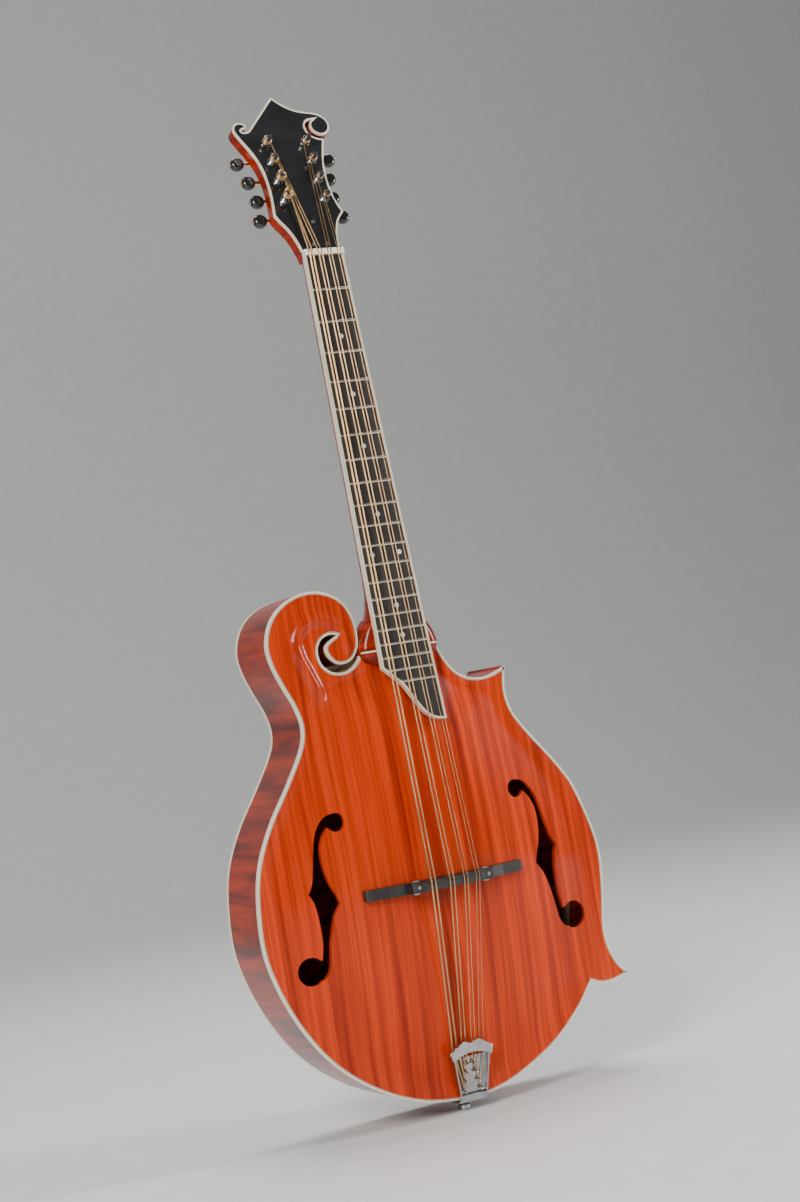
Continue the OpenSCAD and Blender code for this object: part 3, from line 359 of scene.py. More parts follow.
def sheet_solid(verts, faces, y_outer, y_inner):
    """A closed solid from a filled sheet, its two sides at the given depths."""
    count = len(verts)
    points = np.vstack([np.stack([verts[:, 0], y, verts[:, 1]], 1) for y in (y_outer, y_inner)])
    edges = np.concatenate([faces[:, [0, 1]], faces[:, [1, 2]], faces[:, [2, 0]]])
    seen = {tuple(e) for e in edges.tolist()}
    rim = [(a, b) for a, b in seen if (b, a) not in seen]
    walls = [(b, a, a + count, b + count) for a, b in rim]
    return points, faces.tolist() + (faces[:, ::-1] + count).tolist() + walls


def ring_solid(outer, inner, y0, y1, closed=True):
    """A strip between two matching [x, z] lines, from depth y0 to y1."""
    n = len(outer)
    rows = [np.stack([line[:, 0], np.full(n, y), line[:, 1]], 1)
            for line, y in ((outer, y0), (inner, y0), (inner, y1), (outer, y1))]
    faces = []
    for i in range(n if closed else n - 1):
        j = (i + 1) % n
        for r in range(4):
            s = (r + 1) % 4
            faces.append((r * n + i, r * n + j, s * n + j, s * n + i))
    if not closed:
        faces += [(0, n, 2 * n, 3 * n), (4 * n - 1, 3 * n - 1, 2 * n - 1, n - 1)]
    return np.vstack(rows), faces


def prism(outline, y0, y1, place):
    """An outline given depth, in a leaning frame."""
    sheet, faces = fill_sheet(outline, [], 12)
    points, faces = sheet_solid(sheet, faces, np.full(len(sheet), y0), np.full(len(sheet), y1))
    return place(points), faces


def hoop_faces(rows, columns):
    """Faces that join closed rings of points one after the other, with a cap at each end."""
    faces = []
    for i in range(rows - 1):
        for k in range(columns):
            n = (k + 1) % columns
            faces.append((i * columns + k, i * columns + n, (i + 1) * columns + n, (i + 1) * columns + k))
    last = (rows - 1) * columns
    return faces + [tuple(range(columns))[::-1], tuple(range(last, last + columns))]


def tube(path, radius, sides=10):
    """A round cord along a path."""
    path = np.asarray(path, float)
    ahead = np.gradient(path, axis=0)
    ahead /= np.linalg.norm(ahead, axis=1)[:, None]
    side = np.cross(ahead[0], [0.3, 1, 0.1])
    side /= np.linalg.norm(side)
    verts = []
    for p, d in zip(path, ahead):
        side = side - d * (side @ d)
        side /= np.linalg.norm(side)
        other = np.cross(d, side)
        for k in range(sides):
            a = 2 * math.pi * k / sides
            verts.append(p + radius * (math.cos(a) * side + math.sin(a) * other))
    return verts, hoop_faces(len(path), sides)


# ---------------------------------------------------------------- finishes

class Finish:
    """A principled material and short ways to wire its node textures."""

    def __init__(self, name, **levels):
        self.mat = bpy.data.materials.new(name)
        self.mat.use_nodes = True
        self.tree = self.mat.node_tree
        self.out = self.tree.nodes["Principled BSDF"]
        self.place = self.tree.nodes.new("ShaderNodeTexCoord").outputs["Object"]
        self.level(**levels)

    def level(self, **levels):
        for key, value in levels.items():
            self.out.inputs[key.replace("_", " ")].default_value = value

    def node(self, kind, inputs=(), **props):
        n = self.tree.nodes.new(kind)
        for key, value in props.items():
            setattr(n, key, value)
        for key, value in dict(inputs).items():
            if isinstance(value, bpy.types.NodeSocket):
                self.tree.links.new(value, n.inputs[key])
            else:
                n.inputs[key].default_value = value
        return n

    def stretched(self, scale, bend=0.0):
        """Coordinates scaled per axis; bend slants them away from the centre line."""
        place = self.place
        if bend:
            parts = self.node("ShaderNodeSeparateXYZ", {0: place})
            off = self.node("ShaderNodeMath", {0: parts.outputs[0]}, operation="ABSOLUTE")
            up = self.node("ShaderNodeMath", {0: off.outputs[0], 1: bend, 2: parts.outputs[2]},
                           operation="MULTIPLY_ADD")
            slanted = {0: parts.outputs[0], 1: parts.outputs[1], 2: up.outputs[0]}
            place = self.node("ShaderNodeCombineXYZ", slanted).outputs[0]
        return self.node("ShaderNodeVectorMath", {0: place, 1: scale}, operation="MULTIPLY").outputs[0]

    def noise(self, scale, detail=3.0, rough=0.5, twist=0.0, bend=0.0):
        return self.node("ShaderNodeTexNoise", {
            "Vector": self.stretched(scale, bend), "Scale": 1.0, "Detail": detail,
            "Roughness": rough, "Distortion": twist}).outputs["Fac"]

    def bands(self, scale, twist=2.0):
        return self.node("ShaderNodeTexWave", {
            "Vector": self.stretched(scale), "Scale": 1.0, "Distortion": twist, "Detail": 2.0,
            "Detail Scale": 1.2}).outputs["Fac"]

    def ramp(self, fac, stops):
        n = self.node("ShaderNodeValToRGB", {"Fac": fac})
        ends = n.color_ramp.elements
        while len(ends) < len(stops):
            ends.new(0.5)
        for e, (pos, colour) in zip(ends, stops):
            e.position = pos
            e.color = (*colour, 1)
        return n.outputs["Color"]

    def span(self, fac, low, high):
        limits = {"Value": fac, "To Min": low, "To Max": high}
        return self.node("ShaderNodeMapRange", limits).outputs["Result"]

    def colour(self, socket):
        self.tree.links.new(socket, self.out.inputs["Base Color"])

    def rough(self, fac, low, high):
        self.tree.links.new(self.span(fac, low, high), self.out.inputs["Roughness"])

    def bump(self, height, depth, strength=1.0):
        n = self.node("ShaderNodeBump", {"Height": height, "Distance": depth * MM, "Strength": strength})
        self.tree.links.new(n.outputs["Normal"], self.out.inputs["Normal"])


def mix_rgba(f, a, b, fac, blend="MIX"):
    """Colour mix by socket position, since the mix node has sockets of equal names."""
    n = f.tree.nodes.new("ShaderNodeMix")
    n.data_type = "RGBA"
    n.blend_type = blend
    for socket, value in ((n.inputs[0], fac), (n.inputs[6], a), (n.inputs[7], b)):
        if isinstance(value, bpy.types.NodeSocket):
            f.tree.links.new(value, socket)
        else:
            socket.default_value = value
    return n.outputs[2]


def lacquered_spruce():
    f = Finish("lacquered_spruce", Coat_Weight=0.55, Coat_Roughness=0.03, Coat_IOR=1.4,
               Specular_IOR_Level=0.08)
    grain = f.noise((420, 30, 5), 4, 0.6)
    streak = f.noise((130, 10, 2.6), 4, 0.62, 0.2)
    cloud = f.noise((9, 6, 5), 3, 0.5)
    base = f.ramp(streak, [(0.28, (0.26, 0.012, 0.0005)), (0.44, (0.48, 0.034, 0.001)),
                           (0.60, (0.70, 0.050, 0.0006)), (0.80, (0.80, 0.072, 0.0008))])
    lines = f.ramp(grain, [(0.38, (0.72, 0.62, 0.55)), (0.58, (1, 1, 1))])
    shadow = f.ramp(cloud, [(0.25, (0.74, 0.62, 0.6)), (0.65, (1, 1, 1))])
    f.colour(mix_rgba(f, mix_rgba(f, base, lines, 0.75, "MULTIPLY"), shadow, 0.8, "MULTIPLY"))
    f.rough(grain, 0.26, 0.40)
    f.bump(grain, 0.05, 0.35)
    return f.mat


def flamed_maple(name, scale, dark, light, bend=0.0):
    f = Finish(name, Coat_Weight=0.5, Coat_Roughness=0.05, Coat_IOR=1.4, Specular_IOR_Level=0.1)
    flame = f.noise(scale, 2.5, 0.55, 0.6, bend)
    fibre = f.noise((260, 260, 14), 3, 0.6)
    middle = tuple(0.5 * (a + b) for a, b in zip(dark, light))
    base = f.ramp(flame, [(0.34, dark), (0.50, middle), (0.66, light)])
    lines = f.ramp(fibre, [(0.35, (0.7, 0.6, 0.55)), (0.62, (1, 1, 1))])
    f.colour(mix_rgba(f, base, lines, 0.6, "MULTIPLY"))
    f.rough(flame, 0.24, 0.38)
    f.bump(fibre, 0.04, 0.3)
    return f.mat


def ebony():
    f = Finish("ebony", Coat_Weight=0.15, Coat_Roughness=0.3)
    pore = f.noise((900, 900, 60), 4, 0.65)
    tone = f.noise((80, 80, 8), 3, 0.5)
    base = f.ramp(tone, [(0.3, (0.010, 0.0085, 0.008)), (0.7, (0.030, 0.024, 0.021))])
    f.colour(mix_rgba(f, base, f.ramp(pore, [(0.3, (0.5, 0.5, 0.5)), (0.6, (1, 1, 1))]), 0.7, "MULTIPLY"))
    f.rough(pore, 0.34, 0.55)
    f.bump(pore, 0.04, 0.5)
    return f.mat


def black_lacquer(name, rough):
    f = Finish(name, Coat_Weight=0.6, Coat_Roughness=rough)
    cloud = f.noise((40, 40, 40), 3, 0.5)
    f.colour(f.ramp(cloud, [(0.3, (0.006, 0.006, 0.0065)), (0.7, (0.012, 0.012, 0.013))]))
    f.rough(cloud, rough + 0.1, rough + 0.2)
    f.bump(f.noise((300, 300, 300), 2), 0.01, 0.3)
    return f.mat


def ivory(name, light, warm):
    f = Finish(name, Coat_Weight=0.5, Coat_Roughness=0.12)
    cloud = f.noise((120, 120, 30), 4, 0.5)
    f.colour(f.ramp(cloud, [(0.3, warm), (0.7, light)]))
    f.rough(cloud, 0.25, 0.4)
    f.bump(cloud, 0.01, 0.3)
    return f.mat


def metal(name, light, dark, low, high, grain=(500, 500, 500)):
    f = Finish(name, Metallic=1.0)
    wear = f.noise((90, 90, 90), 4, 0.6)
    fine = f.noise(grain, 2, 0.5)
    f.colour(f.ramp(wear, [(0.3, dark), (0.65, light)]))
    f.rough(wear, high, low)
    f.bump(fine, 0.01, 0.25)
    return f.mat


def wound_bronze():
    f = Finish("wound_bronze", Metallic=1.0)
    coil = f.bands((0, 0, 520), 0.0)
    tone = f.noise((60, 60, 25), 3)
    base = f.ramp(tone, [(0.3, (0.62, 0.36, 0.17)), (0.7, (0.86, 0.58, 0.30))])
    f.colour(mix_rgba(f, base, f.ramp(coil, [(0.1, (0.62, 0.6, 0.58)), (0.6, (1, 1, 1))]), 0.7, "MULTIPLY"))
    f.rough(tone, 0.24, 0.36)
    f.bump(coil, 0.15, 0.6)
    return f.mat


def pearl():
    f = Finish("pearl", Coat_Weight=0.8, Coat_Roughness=0.05)
    sheen = f.noise((500, 300, 400), 3, 0.5, 1.5)
    f.colour(f.ramp(sheen, [(0.3, (0.55, 0.62, 0.66)), (0.5, (0.86, 0.86, 0.82)),
                            (0.7, (0.74, 0.68, 0.72))]))
    f.rough(sheen, 0.15, 0.3)
    return f.mat


def bare_wood():
    f = Finish("bare_spruce")
    grain = f.noise((300, 60, 10), 4, 0.6)
    f.colour(f.ramp(grain, [(0.35, (0.42, 0.27, 0.13)), (0.6, (0.62, 0.45, 0.26))]))
    f.rough(grain, 0.6, 0.8)
    f.bump(grain, 0.1, 0.5)
    return f.mat


spruce_mat = lacquered_spruce()
rib_mat = flamed_maple("lacquered_rib_maple", (60, 7, 75), (0.10, 0.004, 0.0004), (0.40, 0.026, 0.001))
back_mat = flamed_maple("lacquered_back_maple", (9, 9, 95), (0.12, 0.006, 0.0004),
                        (0.42, 0.030, 0.001), 0.25)
neck_mat = flamed_maple("lacquered_neck_maple", (14, 14, 110), (0.10, 0.004, 0.0004),
                        (0.38, 0.024, 0.001))
ebony_mat = ebony()
face_mat = black_lacquer("black_head_lacquer", 0.08)
button_mat = black_lacquer("black_button", 0.05)
ivory_mat = ivory("ivory_binding", (0.80, 0.74, 0.58), (0.70, 0.62, 0.45))
line_mat = ivory("dark_binding_line", (0.05, 0.045, 0.04), (0.03, 0.03, 0.03))
cream_mat = ivory("cream_binding_line", (0.70, 0.62, 0.46), (0.60, 0.52, 0.37))
bone_mat = ivory("bone", (0.88, 0.86, 0.78), (0.78, 0.74, 0.62))
nickel_mat = metal("polished_nickel", (0.56, 0.56, 0.57), (0.38, 0.38, 0.39), 0.05, 0.14)
steel_mat = metal("blued_steel", (0.50, 0.50, 0.52), (0.34, 0.34, 0.36), 0.2, 0.4)
gilt_mat = metal("copper_gilt", (0.90, 0.60, 0.38), (0.68, 0.38, 0.22), 0.14, 0.32)
fret_mat = metal("fret_nickel", (0.82, 0.78, 0.68), (0.60, 0.56, 0.48), 0.16, 0.32)
bronze_mat = wound_bronze()
pearl_mat = pearl()
wood_mat = bare_wood()


def dress(mat, *names, angle=32):
    """Gives CAD nodes their finish and smooth shading."""
    for name in names:
        obj = nodes[name]
        obj.data.materials.clear()
        obj.data.materials.append(mat)
        shade(obj, angle)


# ---------------------------------------------------------------- body

CENTRE_BAND = 4.5  # half width of the strip over the centre line where the two sides meet
NECK_END_FALL = 0.225  # share of the arch's height lost from FALL_START on, over FALL_LENGTH
FALL_START = 260
FALL_LENGTH = 110
CHANNEL_REACH = 0.9  # where the channel runs, as a share of the way to the edge, and its depth
CHANNEL_DEPTH = 0.9
RIDGE_HEIGHT = 4.4
RIDGE_HALF = 5.5


def arch(x, z, rise):
    """Height of a carved plate above its edge, along rays that run from the centre line to the edge."""
    height = np.zeros(len(x))
    line_z = curve([[v, 0] for v in SPINE_Z], 12)[:, 0]
    treble_share = np.clip(0.5 + x / (2 * CENTRE_BAND), 0, 1)
    for side, share, edge_points in ((-1, 1 - treble_share, ARCH_BASS), (1, treble_share, ARCH_TREBLE)):
        edge = curve(edge_points, 12)[1:-1]
        foot = line_z[1:-1]
        off_centre = side * np.maximum(side * x, CENTRE_BAND)
        mine = np.where(share > 0)[0]
        for part in np.array_split(mine, max(1, len(mine) // 4000)):
            t = off_centre[part][:, None] / edge[None, :, 0]
            level = foot + t * (edge[:, 1] - foot) - z[part][:, None]
            cross = (level[:, :-1] <= 0) & (level[:, 1:] > 0)
            k = np.where(cross, np.abs(t[:, :-1]), np.inf).argmin(1)
            row = np.arange(len(part))
            a, b = level[row, k], level[row, k + 1]
            mix = np.clip(-a / np.where(b - a == 0, 1, b - a), 0, 1)
            reach = t[row, k] * (1 - mix) + t[row, k + 1] * mix
            station = foot[k] * (1 - mix) + foot[np.minimum(k + 1, len(foot) - 1)] * mix
            profile = arch_profile(reach, station, rise)
            height[part] += share[part] * np.where(cross.any(1), profile, 0)
    return height


def arch_profile(reach, station, rise):
    """Height along one ray: a dome, lower towards the neck, and the shallow channel round it."""
    fall = 1 - NECK_END_FALL * np.clip((station - FALL_START) / FALL_LENGTH, 0, 1) ** 1.5
    dome = rise * fall * np.clip(1 - (reach / CHANNEL_REACH) ** 2, 0, None) ** 1.5
    channel = CHANNEL_DEPTH * np.exp(-(((reach - CHANNEL_REACH) / 0.07) ** 2)) * (reach < 1.15)
    return dome - channel


def ridge_height(points):
    """The carved crest that runs from the top up into the scroll, and the valley beside it."""
    crest = curve(SCROLL_RIDGE, 10)
    d = distance(points, crest)
    rise = np.clip((points[:, 1] - 385) / 40, 0, 1) * np.exp(-((d / RIDGE_HALF) ** 2))
    tail = np.exp(-((distance(points, crest[-25:]) / 9) ** 2))
    return RIDGE_HEIGHT * rise * (1 - 0.45 * tail)


def edge_share(points, edge, flat):
    """0 within a flat strip along the edge, 1 from 4 mm further in."""
    return np.clip((distance(points, closed_path(edge)) - flat) / 4.0, 0, 1)


def bass_run():
    return chain(curve(BASS_SIDE), curve(SCROLL_SLOT))


def treble_run():
    return chain(curve(TREBLE_SHOULDER), curve(TREBLE_WAIST), curve(POINT_END), curve(TREBLE_BOUT))


def f_hole():
    """The treble sound hole: a low and a high eye joined by a notched stem."""
    def arc(centre, radius, start, end, count):
        a = np.radians(np.linspace(start, end, count))
        return np.array(centre) + radius * np.stack([np.cos(a), np.sin(a)], 1)

    outer = np.vstack([curve(F_STEM_OUTER, 5), curve(F_STEM_LOWER, 5)[1:]])
    inner = np.vstack([curve(F_STEM_INNER, 5), curve(F_STEM_UPPER, 5)[1:]])
    low, high = np.array(F_EYE_LOW), np.array(F_EYE_HIGH)

    def bearing(p, centre):
        return math.degrees(math.atan2(p[1] - centre[1], p[0] - centre[0]))

    low_start, low_end = bearing(outer[-1], low), bearing(inner[0], low) % 360
    high_start, high_end = bearing(inner[-1], high) % 360, bearing(outer[0], high)
    low_arc = arc(low, F_EYE_LOW_R, low_start, low_end - 360, 34)
    high_arc = arc(high, F_EYE_HIGH_R, high_start, high_end, 26)
    return np.vstack([outer, low_arc[1:-1], inner, high_arc[1:-1]])


def make_top(outline):
    """Carved top with its sound holes, its mesh finer round the scroll."""
    treble = f_hole()
    bass = (treble * [-1, 1])[::-1]
    edge = inset(outline, BINDING)
    sheet, faces = fill_sheet(edge, [treble, bass], 3.2, (-134, -40, 376, 512, 1.7))
    rise = arch(sheet[:, 0], sheet[:, 1], TOP_RISE)
    share = edge_share(sheet, edge, 0.6)
    front = FRONT_Y - PROUD - rise * share - ridge_height(sheet) * share
    verts, faces = sheet_solid(sheet, faces, front, FRONT_Y + PLATE - np.maximum(rise, 0))
    add_piece("carved_top", verts, faces, "instrument", spruce_mat, ["top_plate"], 50)


def make_back():
    """Carved back with the round button that covers the heel."""
    a = np.radians(np.linspace(180, 0, 17))
    button = np.stack([HEEL_BUTTON_R * np.cos(a), JOINT_Z + HEEL_BUTTON_R * np.sin(a)], 1)
    first = bass_run()
    edge = inset(chain(first, treble_run()[:-1]), BINDING)
    join = len(first)
    edge = np.vstack([edge[:join], button, edge[join:]])
    sheet, faces = fill_sheet(edge, [], 4.0)
    rise = arch(sheet[:, 0], sheet[:, 1], BACK_RISE)
    back = BACK_Y + PROUD + rise * edge_share(sheet, edge, 0)
    verts, faces = sheet_solid(sheet, faces[:, ::-1], back, BACK_Y - PLATE + np.maximum(rise, 0))
    add_piece("carved_back", verts, faces, "instrument", back_mat, ["back_plate"], 50)


def make_bindings(outline):
    """Edge bindings: three lines round the top, one band round the back up to the heel button."""
    y0, y1 = FRONT_Y, FRONT_Y + PLATE
    lines = [(0, 1.75, ivory_mat, "top_binding_white", 0.5), (1.75, 2.2, line_mat, "top_binding_line", 0),
             (2.2, 2.75, cream_mat, "top_binding_cream", 0)]
    for start, end, mat, name, edge in lines:
        verts, faces = ring_solid(inset(outline, start), inset(outline, end), y0, y1)
        piece = add_piece(name, verts, faces, "instrument", mat, ["top_binding"])
        if edge:
            soften(piece, edge)
    stop = HEEL_BUTTON_R + 0.2
    path = np.vstack([[[stop, JOINT_Z]], treble_run(), bass_run()[1:], [[-stop, JOINT_Z]]])
    verts, faces = ring_solid(path, inset(path, BINDING, False), BACK_Y - PLATE, BACK_Y, False)
    soften(add_piece("back_binding_band", verts, faces, "instrument", ivory_mat, ["back_binding"]), 0.5)


def make_ribs():
    """Bent ribs between the two plates."""
    runs = {"rib_bass": [BASS_SIDE, SCROLL_SLOT], "rib_treble_upper": [TREBLE_SHOULDER],
            "rib_treble_waist": [TREBLE_WAIST], "rib_treble_lower": [POINT_END, TREBLE_BOUT]}
    for node, parts in runs.items():
        for k, points in enumerate(parts):
            line = curve(points)
            outer, inner = inset(line, RIB_SINK, False), inset(line, RIB, False)
            verts, faces = ring_solid(outer, inner, FRONT_Y + PLATE, BACK_Y - PLATE, False)
            add_piece(f"{node}_bent_{k + 1}", verts, faces, "instrument", rib_mat, [node])


# ---------------------------------------------------------------- neck

def neck_section(u):
    """Half width, depth and fullness of the neck at a place along it."""
    table = NECK_SECTIONS[::-1]
    at = [row[0] for row in table]
    return [float(np.interp(u, at, [row[k] for row in table])) for k in (1, 2, 3)]


def section_ring(u, columns):
    """Points round the back of the neck at a place along it."""
    half, depth, full = neck_section(u)
    a = np.linspace(0, math.pi, columns)
    across = -half * np.sign(np.cos(a)) * np.abs(np.cos(a)) ** full
    return np.stack([across, BOARD + depth * np.sin(a) ** 0.9, np.full(columns, u)], 1)


def joint_ring(columns):
    """The neck's ring on the joint plane, each column followed down to it."""
    ring = []
    for k in range(columns):
        u = 232.0
        for _ in range(12):
            p = from_neck(section_ring(u, columns)[k])
            u = min(u + (JOINT_Z - p[2]), 330)
        ring.append(from_neck(section_ring(u, columns)[k]))
    return np.array(ring)


def neck_rings(columns):
    """Rings from the nut to the body; what would pass the joint plane ends on it."""
    stops = np.concatenate([np.linspace(640, 330, 34), np.linspace(322, 236, 34)])
    rings = [from_neck(section_ring(u, columns)) for u in stops]
    last = joint_ring(columns)
    for ring in rings:
        past = ring[:, 2] < JOINT_Z
        ring[past] = last[past]
    return rings + [last]


def make_neck():
    """Shaft and heel, the slab of the head, and the shoulders."""
    columns = 40
    rings = neck_rings(columns)
    verts = np.vstack(rings)
    verts[:, 1] = np.minimum(verts[:, 1], BACK_Y - PLATE + 0.05)
    faces = hoop_faces(len(rings), columns)
    add_piece("neck_shaft", verts, faces, "instrument", neck_mat, ["neck"], 50)
    verts, faces = prism(head_outline(), OVERLAY, HEAD_THICK, from_head)
    soften(add_piece("head_slab", verts, faces, "instrument", neck_mat, ["neck"]), 0.5)
    for side, name in ((-1, "bass"), (1, "treble")):
        make_shoulder(side, name)


def head_outline():
    """Outline of the head, with its scroll and its curl."""
    return chain(curve(HEAD_RIGHT, 4), curve(HEAD_RIGHT_WAIST, 4), curve(HEAD_SLOT_OUTER, 4),
                 curve(HEAD_SCROLL, 4), np.array(HEAD_SLOPE, float), curve(HEAD_CURL_NOTCH, 4),
                 curve(HEAD_CURL, 4), curve(HEAD_LEFT, 4))


def shoulder_front(points, edge):
    """Front surface of the rounded shoulders beside the board."""
    round_over, step, height = 11.0, 1.5, 9.0
    reach = np.clip(distance(points, edge) / round_over, 0, 1)
    return FRONT_Y - step - height * np.sqrt(1 - (1 - reach) ** 2)


def make_shoulder(side, name):
    """One rounded shoulder of the neck, and the line of binding that crosses it on the joint plane."""
    edge = curve(EAR_EDGE, 8) * ([1, 1] if side < 0 else [-1, 1])
    loop = np.vstack([edge, [[side * 22, 443], [side * 22, 483]]])
    sheet, faces = fill_sheet(loop, [], 1.3)
    front = shoulder_front(sheet, edge)
    verts, faces = sheet_solid(sheet, faces, front, np.full(len(sheet), FRONT_Y + 15.0))
    add_piece(f"neck_shoulder_{name}", verts, faces, "instrument", neck_mat, ["neck"], 50)
    stops, width, depth = 30, 1.6, 2
    across = np.linspace(side * 24, side * 41.3, stops)
    line = np.stack([across, np.full(stops, JOINT_Z - 0.8)], 1)
    surface = shoulder_front(line, edge) - 0.12
    verts = np.vstack([np.stack([across, surface + back, np.full(stops, z)], 1)
                       for back, z in ((0, JOINT_Z - width), (0, JOINT_Z),
                                       (depth, JOINT_Z), (depth, JOINT_Z - width))])
    faces = [(r * stops + i, r * stops + i + 1, (r + 1) % 4 * stops + i + 1, (r + 1) % 4 * stops + i)
             for r in range(4) for i in range(stops - 1)]
    faces += [(0, stops, 2 * stops, 3 * stops),
              (stops - 1, 4 * stops - 1, 3 * stops - 1, 2 * stops - 1)]
    add_piece(f"shoulder_line_{name}", verts, faces, "instrument", ivory_mat, ["top_binding"])


def make_side_dots():
    """Small dark dots in the binding that the player looks down on."""
    verts, faces, sides, radius = [], [], 14, 1.0
    for fret, pair in ((3, 0), (5, 0), (7, 0), (10, 0), (12, 1), (15, 0), (17, 0)):
        u = 0.5 * SCALE * (2 ** (-fret / 12) + 2 ** (-(fret - 1) / 12))
        half = BOARD_HALF + (SCALE - u) * BOARD_SPREAD / (SCALE - BOARD_END)
        for shift in ((-2.6, 2.6) if pair else (0,)):
            first = len(verts)
            for x in (-half - 0.08, -half + 0.6):
                for k in range(sides):
                    a = 2 * math.pi * k / sides
                    verts.append(from_neck([x, 3.2 + radius * math.sin(a),
                                            u + shift + radius * math.cos(a)]))
            faces += [[first + k, first + (k + 1) % sides, first + sides + (k + 1) % sides,
                       first + sides + k] for k in range(sides)]
            faces += [list(range(first, first + sides))[::-1],
                      list(range(first + sides, first + 2 * sides))]
    add_piece("side_dots", np.array(verts), faces, "instrument", line_mat)


# ---------------------------------------------------------------- strings

def eased(points, radius=1.2, count=5):
    """A path of straight runs with small round bends."""
    points = [np.asarray(p, float) for p in points]
    out = [points[0]]
    for a, b, c in zip(points, points[1:], points[2:]):
        back, ahead = (a - b) / np.linalg.norm(a - b), (c - b) / np.linalg.norm(c - b)
        for t in np.linspace(0, 1, count):
            out.append(b + back * radius * (1 - t) ** 2 + ahead * radius * t**2)
    return out + [points[-1]]


def make_loop(i, side):
    """The end loop of a string round its hook; gives the point where the string leaves it."""
    rank = 3 - i if side < 0 else i - 4
    x, z = side * HOOK_ROWS[rank][0], HOOK_ROWS[rank][1] + HOOK_R
    loop = [from_tail([x + LOOP_R * math.sin(a), HOOK_Y, z + LOOP_R * math.cos(a)])
            for a in np.linspace(0, 2 * math.pi, 25)]
    verts, faces = tube(loop, 0.3, 8)
    add_piece(f"string_{i + 1}_loop", verts, faces, "instrument", bronze_mat, ["strings"])
    return from_tail([x, HOOK_Y, z + LOOP_R])


def make_coil(i, side, machine, wrap, v):
    """The turns of a string round its post, which ride the post."""
    r = STRING_SET[i][0]
    coil, turns = POST_R + r, 3.6
    start, way = (math.pi, -1) if side > 0 else (0.0, 1)
    spiral = [[side * POST_X + coil * math.cos(start + way * a), wrap - 2.05 * r * a / (2 * math.pi),
               v + coil * math.sin(start + way * a)]
              for a in np.linspace(0, turns * 2 * math.pi, int(turns * 28))]
    verts, faces = tube(from_head(spiral), r)
    add_piece(f"string_{i + 1}_coil", verts, faces, f"post_{machine}", bronze_mat, ["strings"])


def make_string(i):
    """One string: loop, run from the tailpiece to the saddle, span to the post, and turns on it."""
    r, x_nut, x_saddle, x_bar = STRING_SET[i]
    side, machine = (-1, i + 1) if i < 4 else (1, 12 - i)
    row = (machine - 1) % 4
    v = POST_V + POST_PITCH * row
    wrap = -2.8 - 1.7 * (3 - row)
    bar = np.array([x_bar, FRONT_Y - 9.0, 61.0])
    saddle = np.array([x_saddle, FRONT_Y - SADDLE_RISE + 0.1 * r, BRIDGE_Z + 1])
    nut, nut_back = from_neck([x_nut, -2.65, SCALE]), from_neck([x_nut, -2.55, SCALE + 3])
    post = from_head([side * (POST_X - (POST_R + r)), wrap, v])
    hang = make_loop(i, side)
    verts, faces = tube(eased([hang, bar, saddle - [0, 0, 0.4], saddle]), r)
    tail = add_piece(f"string_{i + 1}_tail", verts, faces, None, bronze_mat, ["strings"])
    verts, faces = tube(eased([saddle, saddle + [0, 0, 0.4], nut, nut_back, post]), r)
    span = add_piece(f"string_{i + 1}_span", verts, faces, None, bronze_mat, ["strings"])
    for piece, far in ((tail, bar), (span, nut)):
        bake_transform(piece)
    make_coil(i, side, machine, wrap, v)


# ---------------------------------------------------------------- stage and camera

def area_light(name, place, target, size, power, colour):
    """A soft rectangular lamp turned towards a point."""
    data = bpy.data.lights.new(name, "AREA")
    data.shape = "RECTANGLE"
    data.size, data.size_y = size
    data.energy = power
    data.color = colour
    obj = bpy.data.objects.new(name, data)
    bpy.context.scene.collection.objects.link(obj)
    obj.location = place
    obj.rotation_euler = (Vector(target) - Vector(place)).to_track_quat("-Z", "Y").to_euler()


def make_floor():
    """A pale sweep in metres: flat under the instrument, then bent up into a wall behind it."""
    half, front, flat, bend, wall_top = 7, -6, 8.5, 2.0, 7
    rows, verts, faces = 24, [], []
    for k in range(rows + 1):
        t = k / rows
        a = max(t - 0.5, 0) * math.pi
        y = front + t * 2 * flat if t < 0.5 else front + flat + bend * math.sin(a)
        z = bend * (1 - math.cos(a)) - 0.0002
        verts += [(-half, y, z), (half, y, z)]
        faces.append((2 * k, 2 * k + 1, 2 * k + 3, 2 * k + 2))
    wall_y = front + flat + bend
    verts += [(-half, wall_y, wall_top), (half, wall_y, wall_top)]
    mesh = bpy.data.meshes.new("floor")
    mesh.from_pydata(verts, [], faces)
    floor = bpy.data.objects.new("floor", mesh)
    bpy.context.scene.collection.objects.link(floor)
    f = Finish("pale_floor")
    grain = f.noise((30, 30, 30), 2)
    f.colour(f.ramp(grain, [(0.3, (0.70, 0.70, 0.69)), (0.7, (0.73, 0.73, 0.72))]))
    f.rough(grain, 0.5, 0.6)
    mesh.materials.append(f.mat)
    mesh.polygons.foreach_set("use_smooth", [True] * len(mesh.polygons))


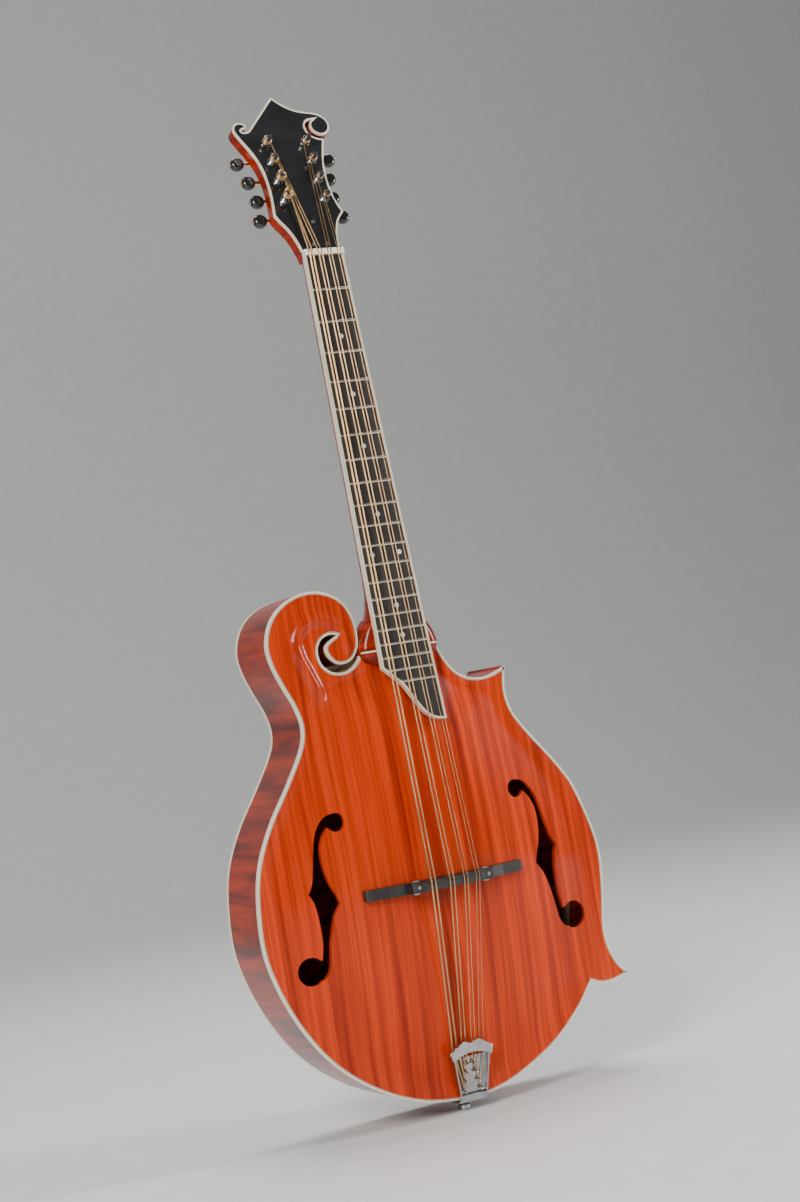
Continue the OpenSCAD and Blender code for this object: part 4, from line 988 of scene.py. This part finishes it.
def make_stage():
    """Floor, room light and three studio lamps; places and sizes in metres, power in watts."""
    make_floor()
    world = bpy.data.worlds.new("soft_room")
    world.use_nodes = True
    room = world.node_tree.nodes["Background"]
    room.inputs["Color"].default_value = (0.86, 0.88, 0.90, 1)
    room.inputs["Strength"].default_value = 0.22
    bpy.context.scene.world = world
    area_light("key", (-2.2, -2.2, 2.0), (0, 0, 0.45), (0.9, 1.6), 118, (1, 0.98, 0.95))
    area_light("side", (2.6, -1.2, 1.3), (0, 0, 0.45), (0.6, 1.5), 76, (0.97, 0.98, 1))
    area_light("top", (0.2, 0.6, 2.8), (0, 0, 0.5), (1.8, 1.2), 56, (1, 1, 1))


def make_camera():
    """Seen from the bass side, slightly from below the middle and turned a little about the view."""
    right = Vector((0.890506, -0.424298, -0.164229))
    up = Vector((0.127373, -0.114034, 0.985278))
    ahead = Vector((0.436779, 0.898314, 0.047504))
    data = bpy.data.cameras.new("camera")
    data.sensor_fit = "VERTICAL"
    data.sensor_height = 36
    data.lens = 64.62
    data.clip_start = 0.05
    cam = bpy.data.objects.new("camera", data)
    bpy.context.scene.collection.objects.link(cam)
    turn = Matrix((right, up, -ahead)).transposed().to_4x4()
    cam.matrix_world = Matrix.Translation((-0.9086, -1.9116, 0.3961)) @ turn
    bpy.context.scene.camera = cam


# ---------------------------------------------------------------- build

outline = chain(bass_run(), treble_run())
make_top(outline)
make_back()
make_bindings(outline)
make_ribs()
make_neck()
make_side_dots()
for number in range(8):
    make_string(number)

dress(ebony_mat, "fingerboard", "bridge_base", "bridge_saddle")
dress(face_mat, "head_overlay", "truss_cover")
dress(button_mat, *[f"tuner_button_{i}" for i in range(1, 9)])
dress(ivory_mat, "head_binding", "fingerboard_binding")
dress(bone_mat, "nut")
dress(pearl_mat, "position_dots")
dress(fret_mat, "frets")
dress(nickel_mat, "tailpiece_frame", "tailpiece_bar", "end_button", "bushings", "bridge_studs",
      "wheel_bass", "wheel_treble", *[f"tuner_post_{i}" for i in range(1, 9)])
dress(gilt_mat, "tuner_plates", *[f"tuner_shaft_{i}" for i in range(1, 9)])
dress(steel_mat, "wood_screws", "truss_rod")
dress(wood_mat, "head_block", "tail_block", "point_blocks", "linings", "tone_bars")
for name, width in (("bridge_base", 0.5), ("bridge_saddle", 0.4), ("nut", 0.3), ("truss_cover", 0.4),
                    ("head_overlay", 0.2), ("tailpiece_frame", 0.3), ("tailpiece_bar", 0.4),
                    ("tuner_plates", 0.2)):
    soften(nodes[name], width)

make_stage()
make_camera()
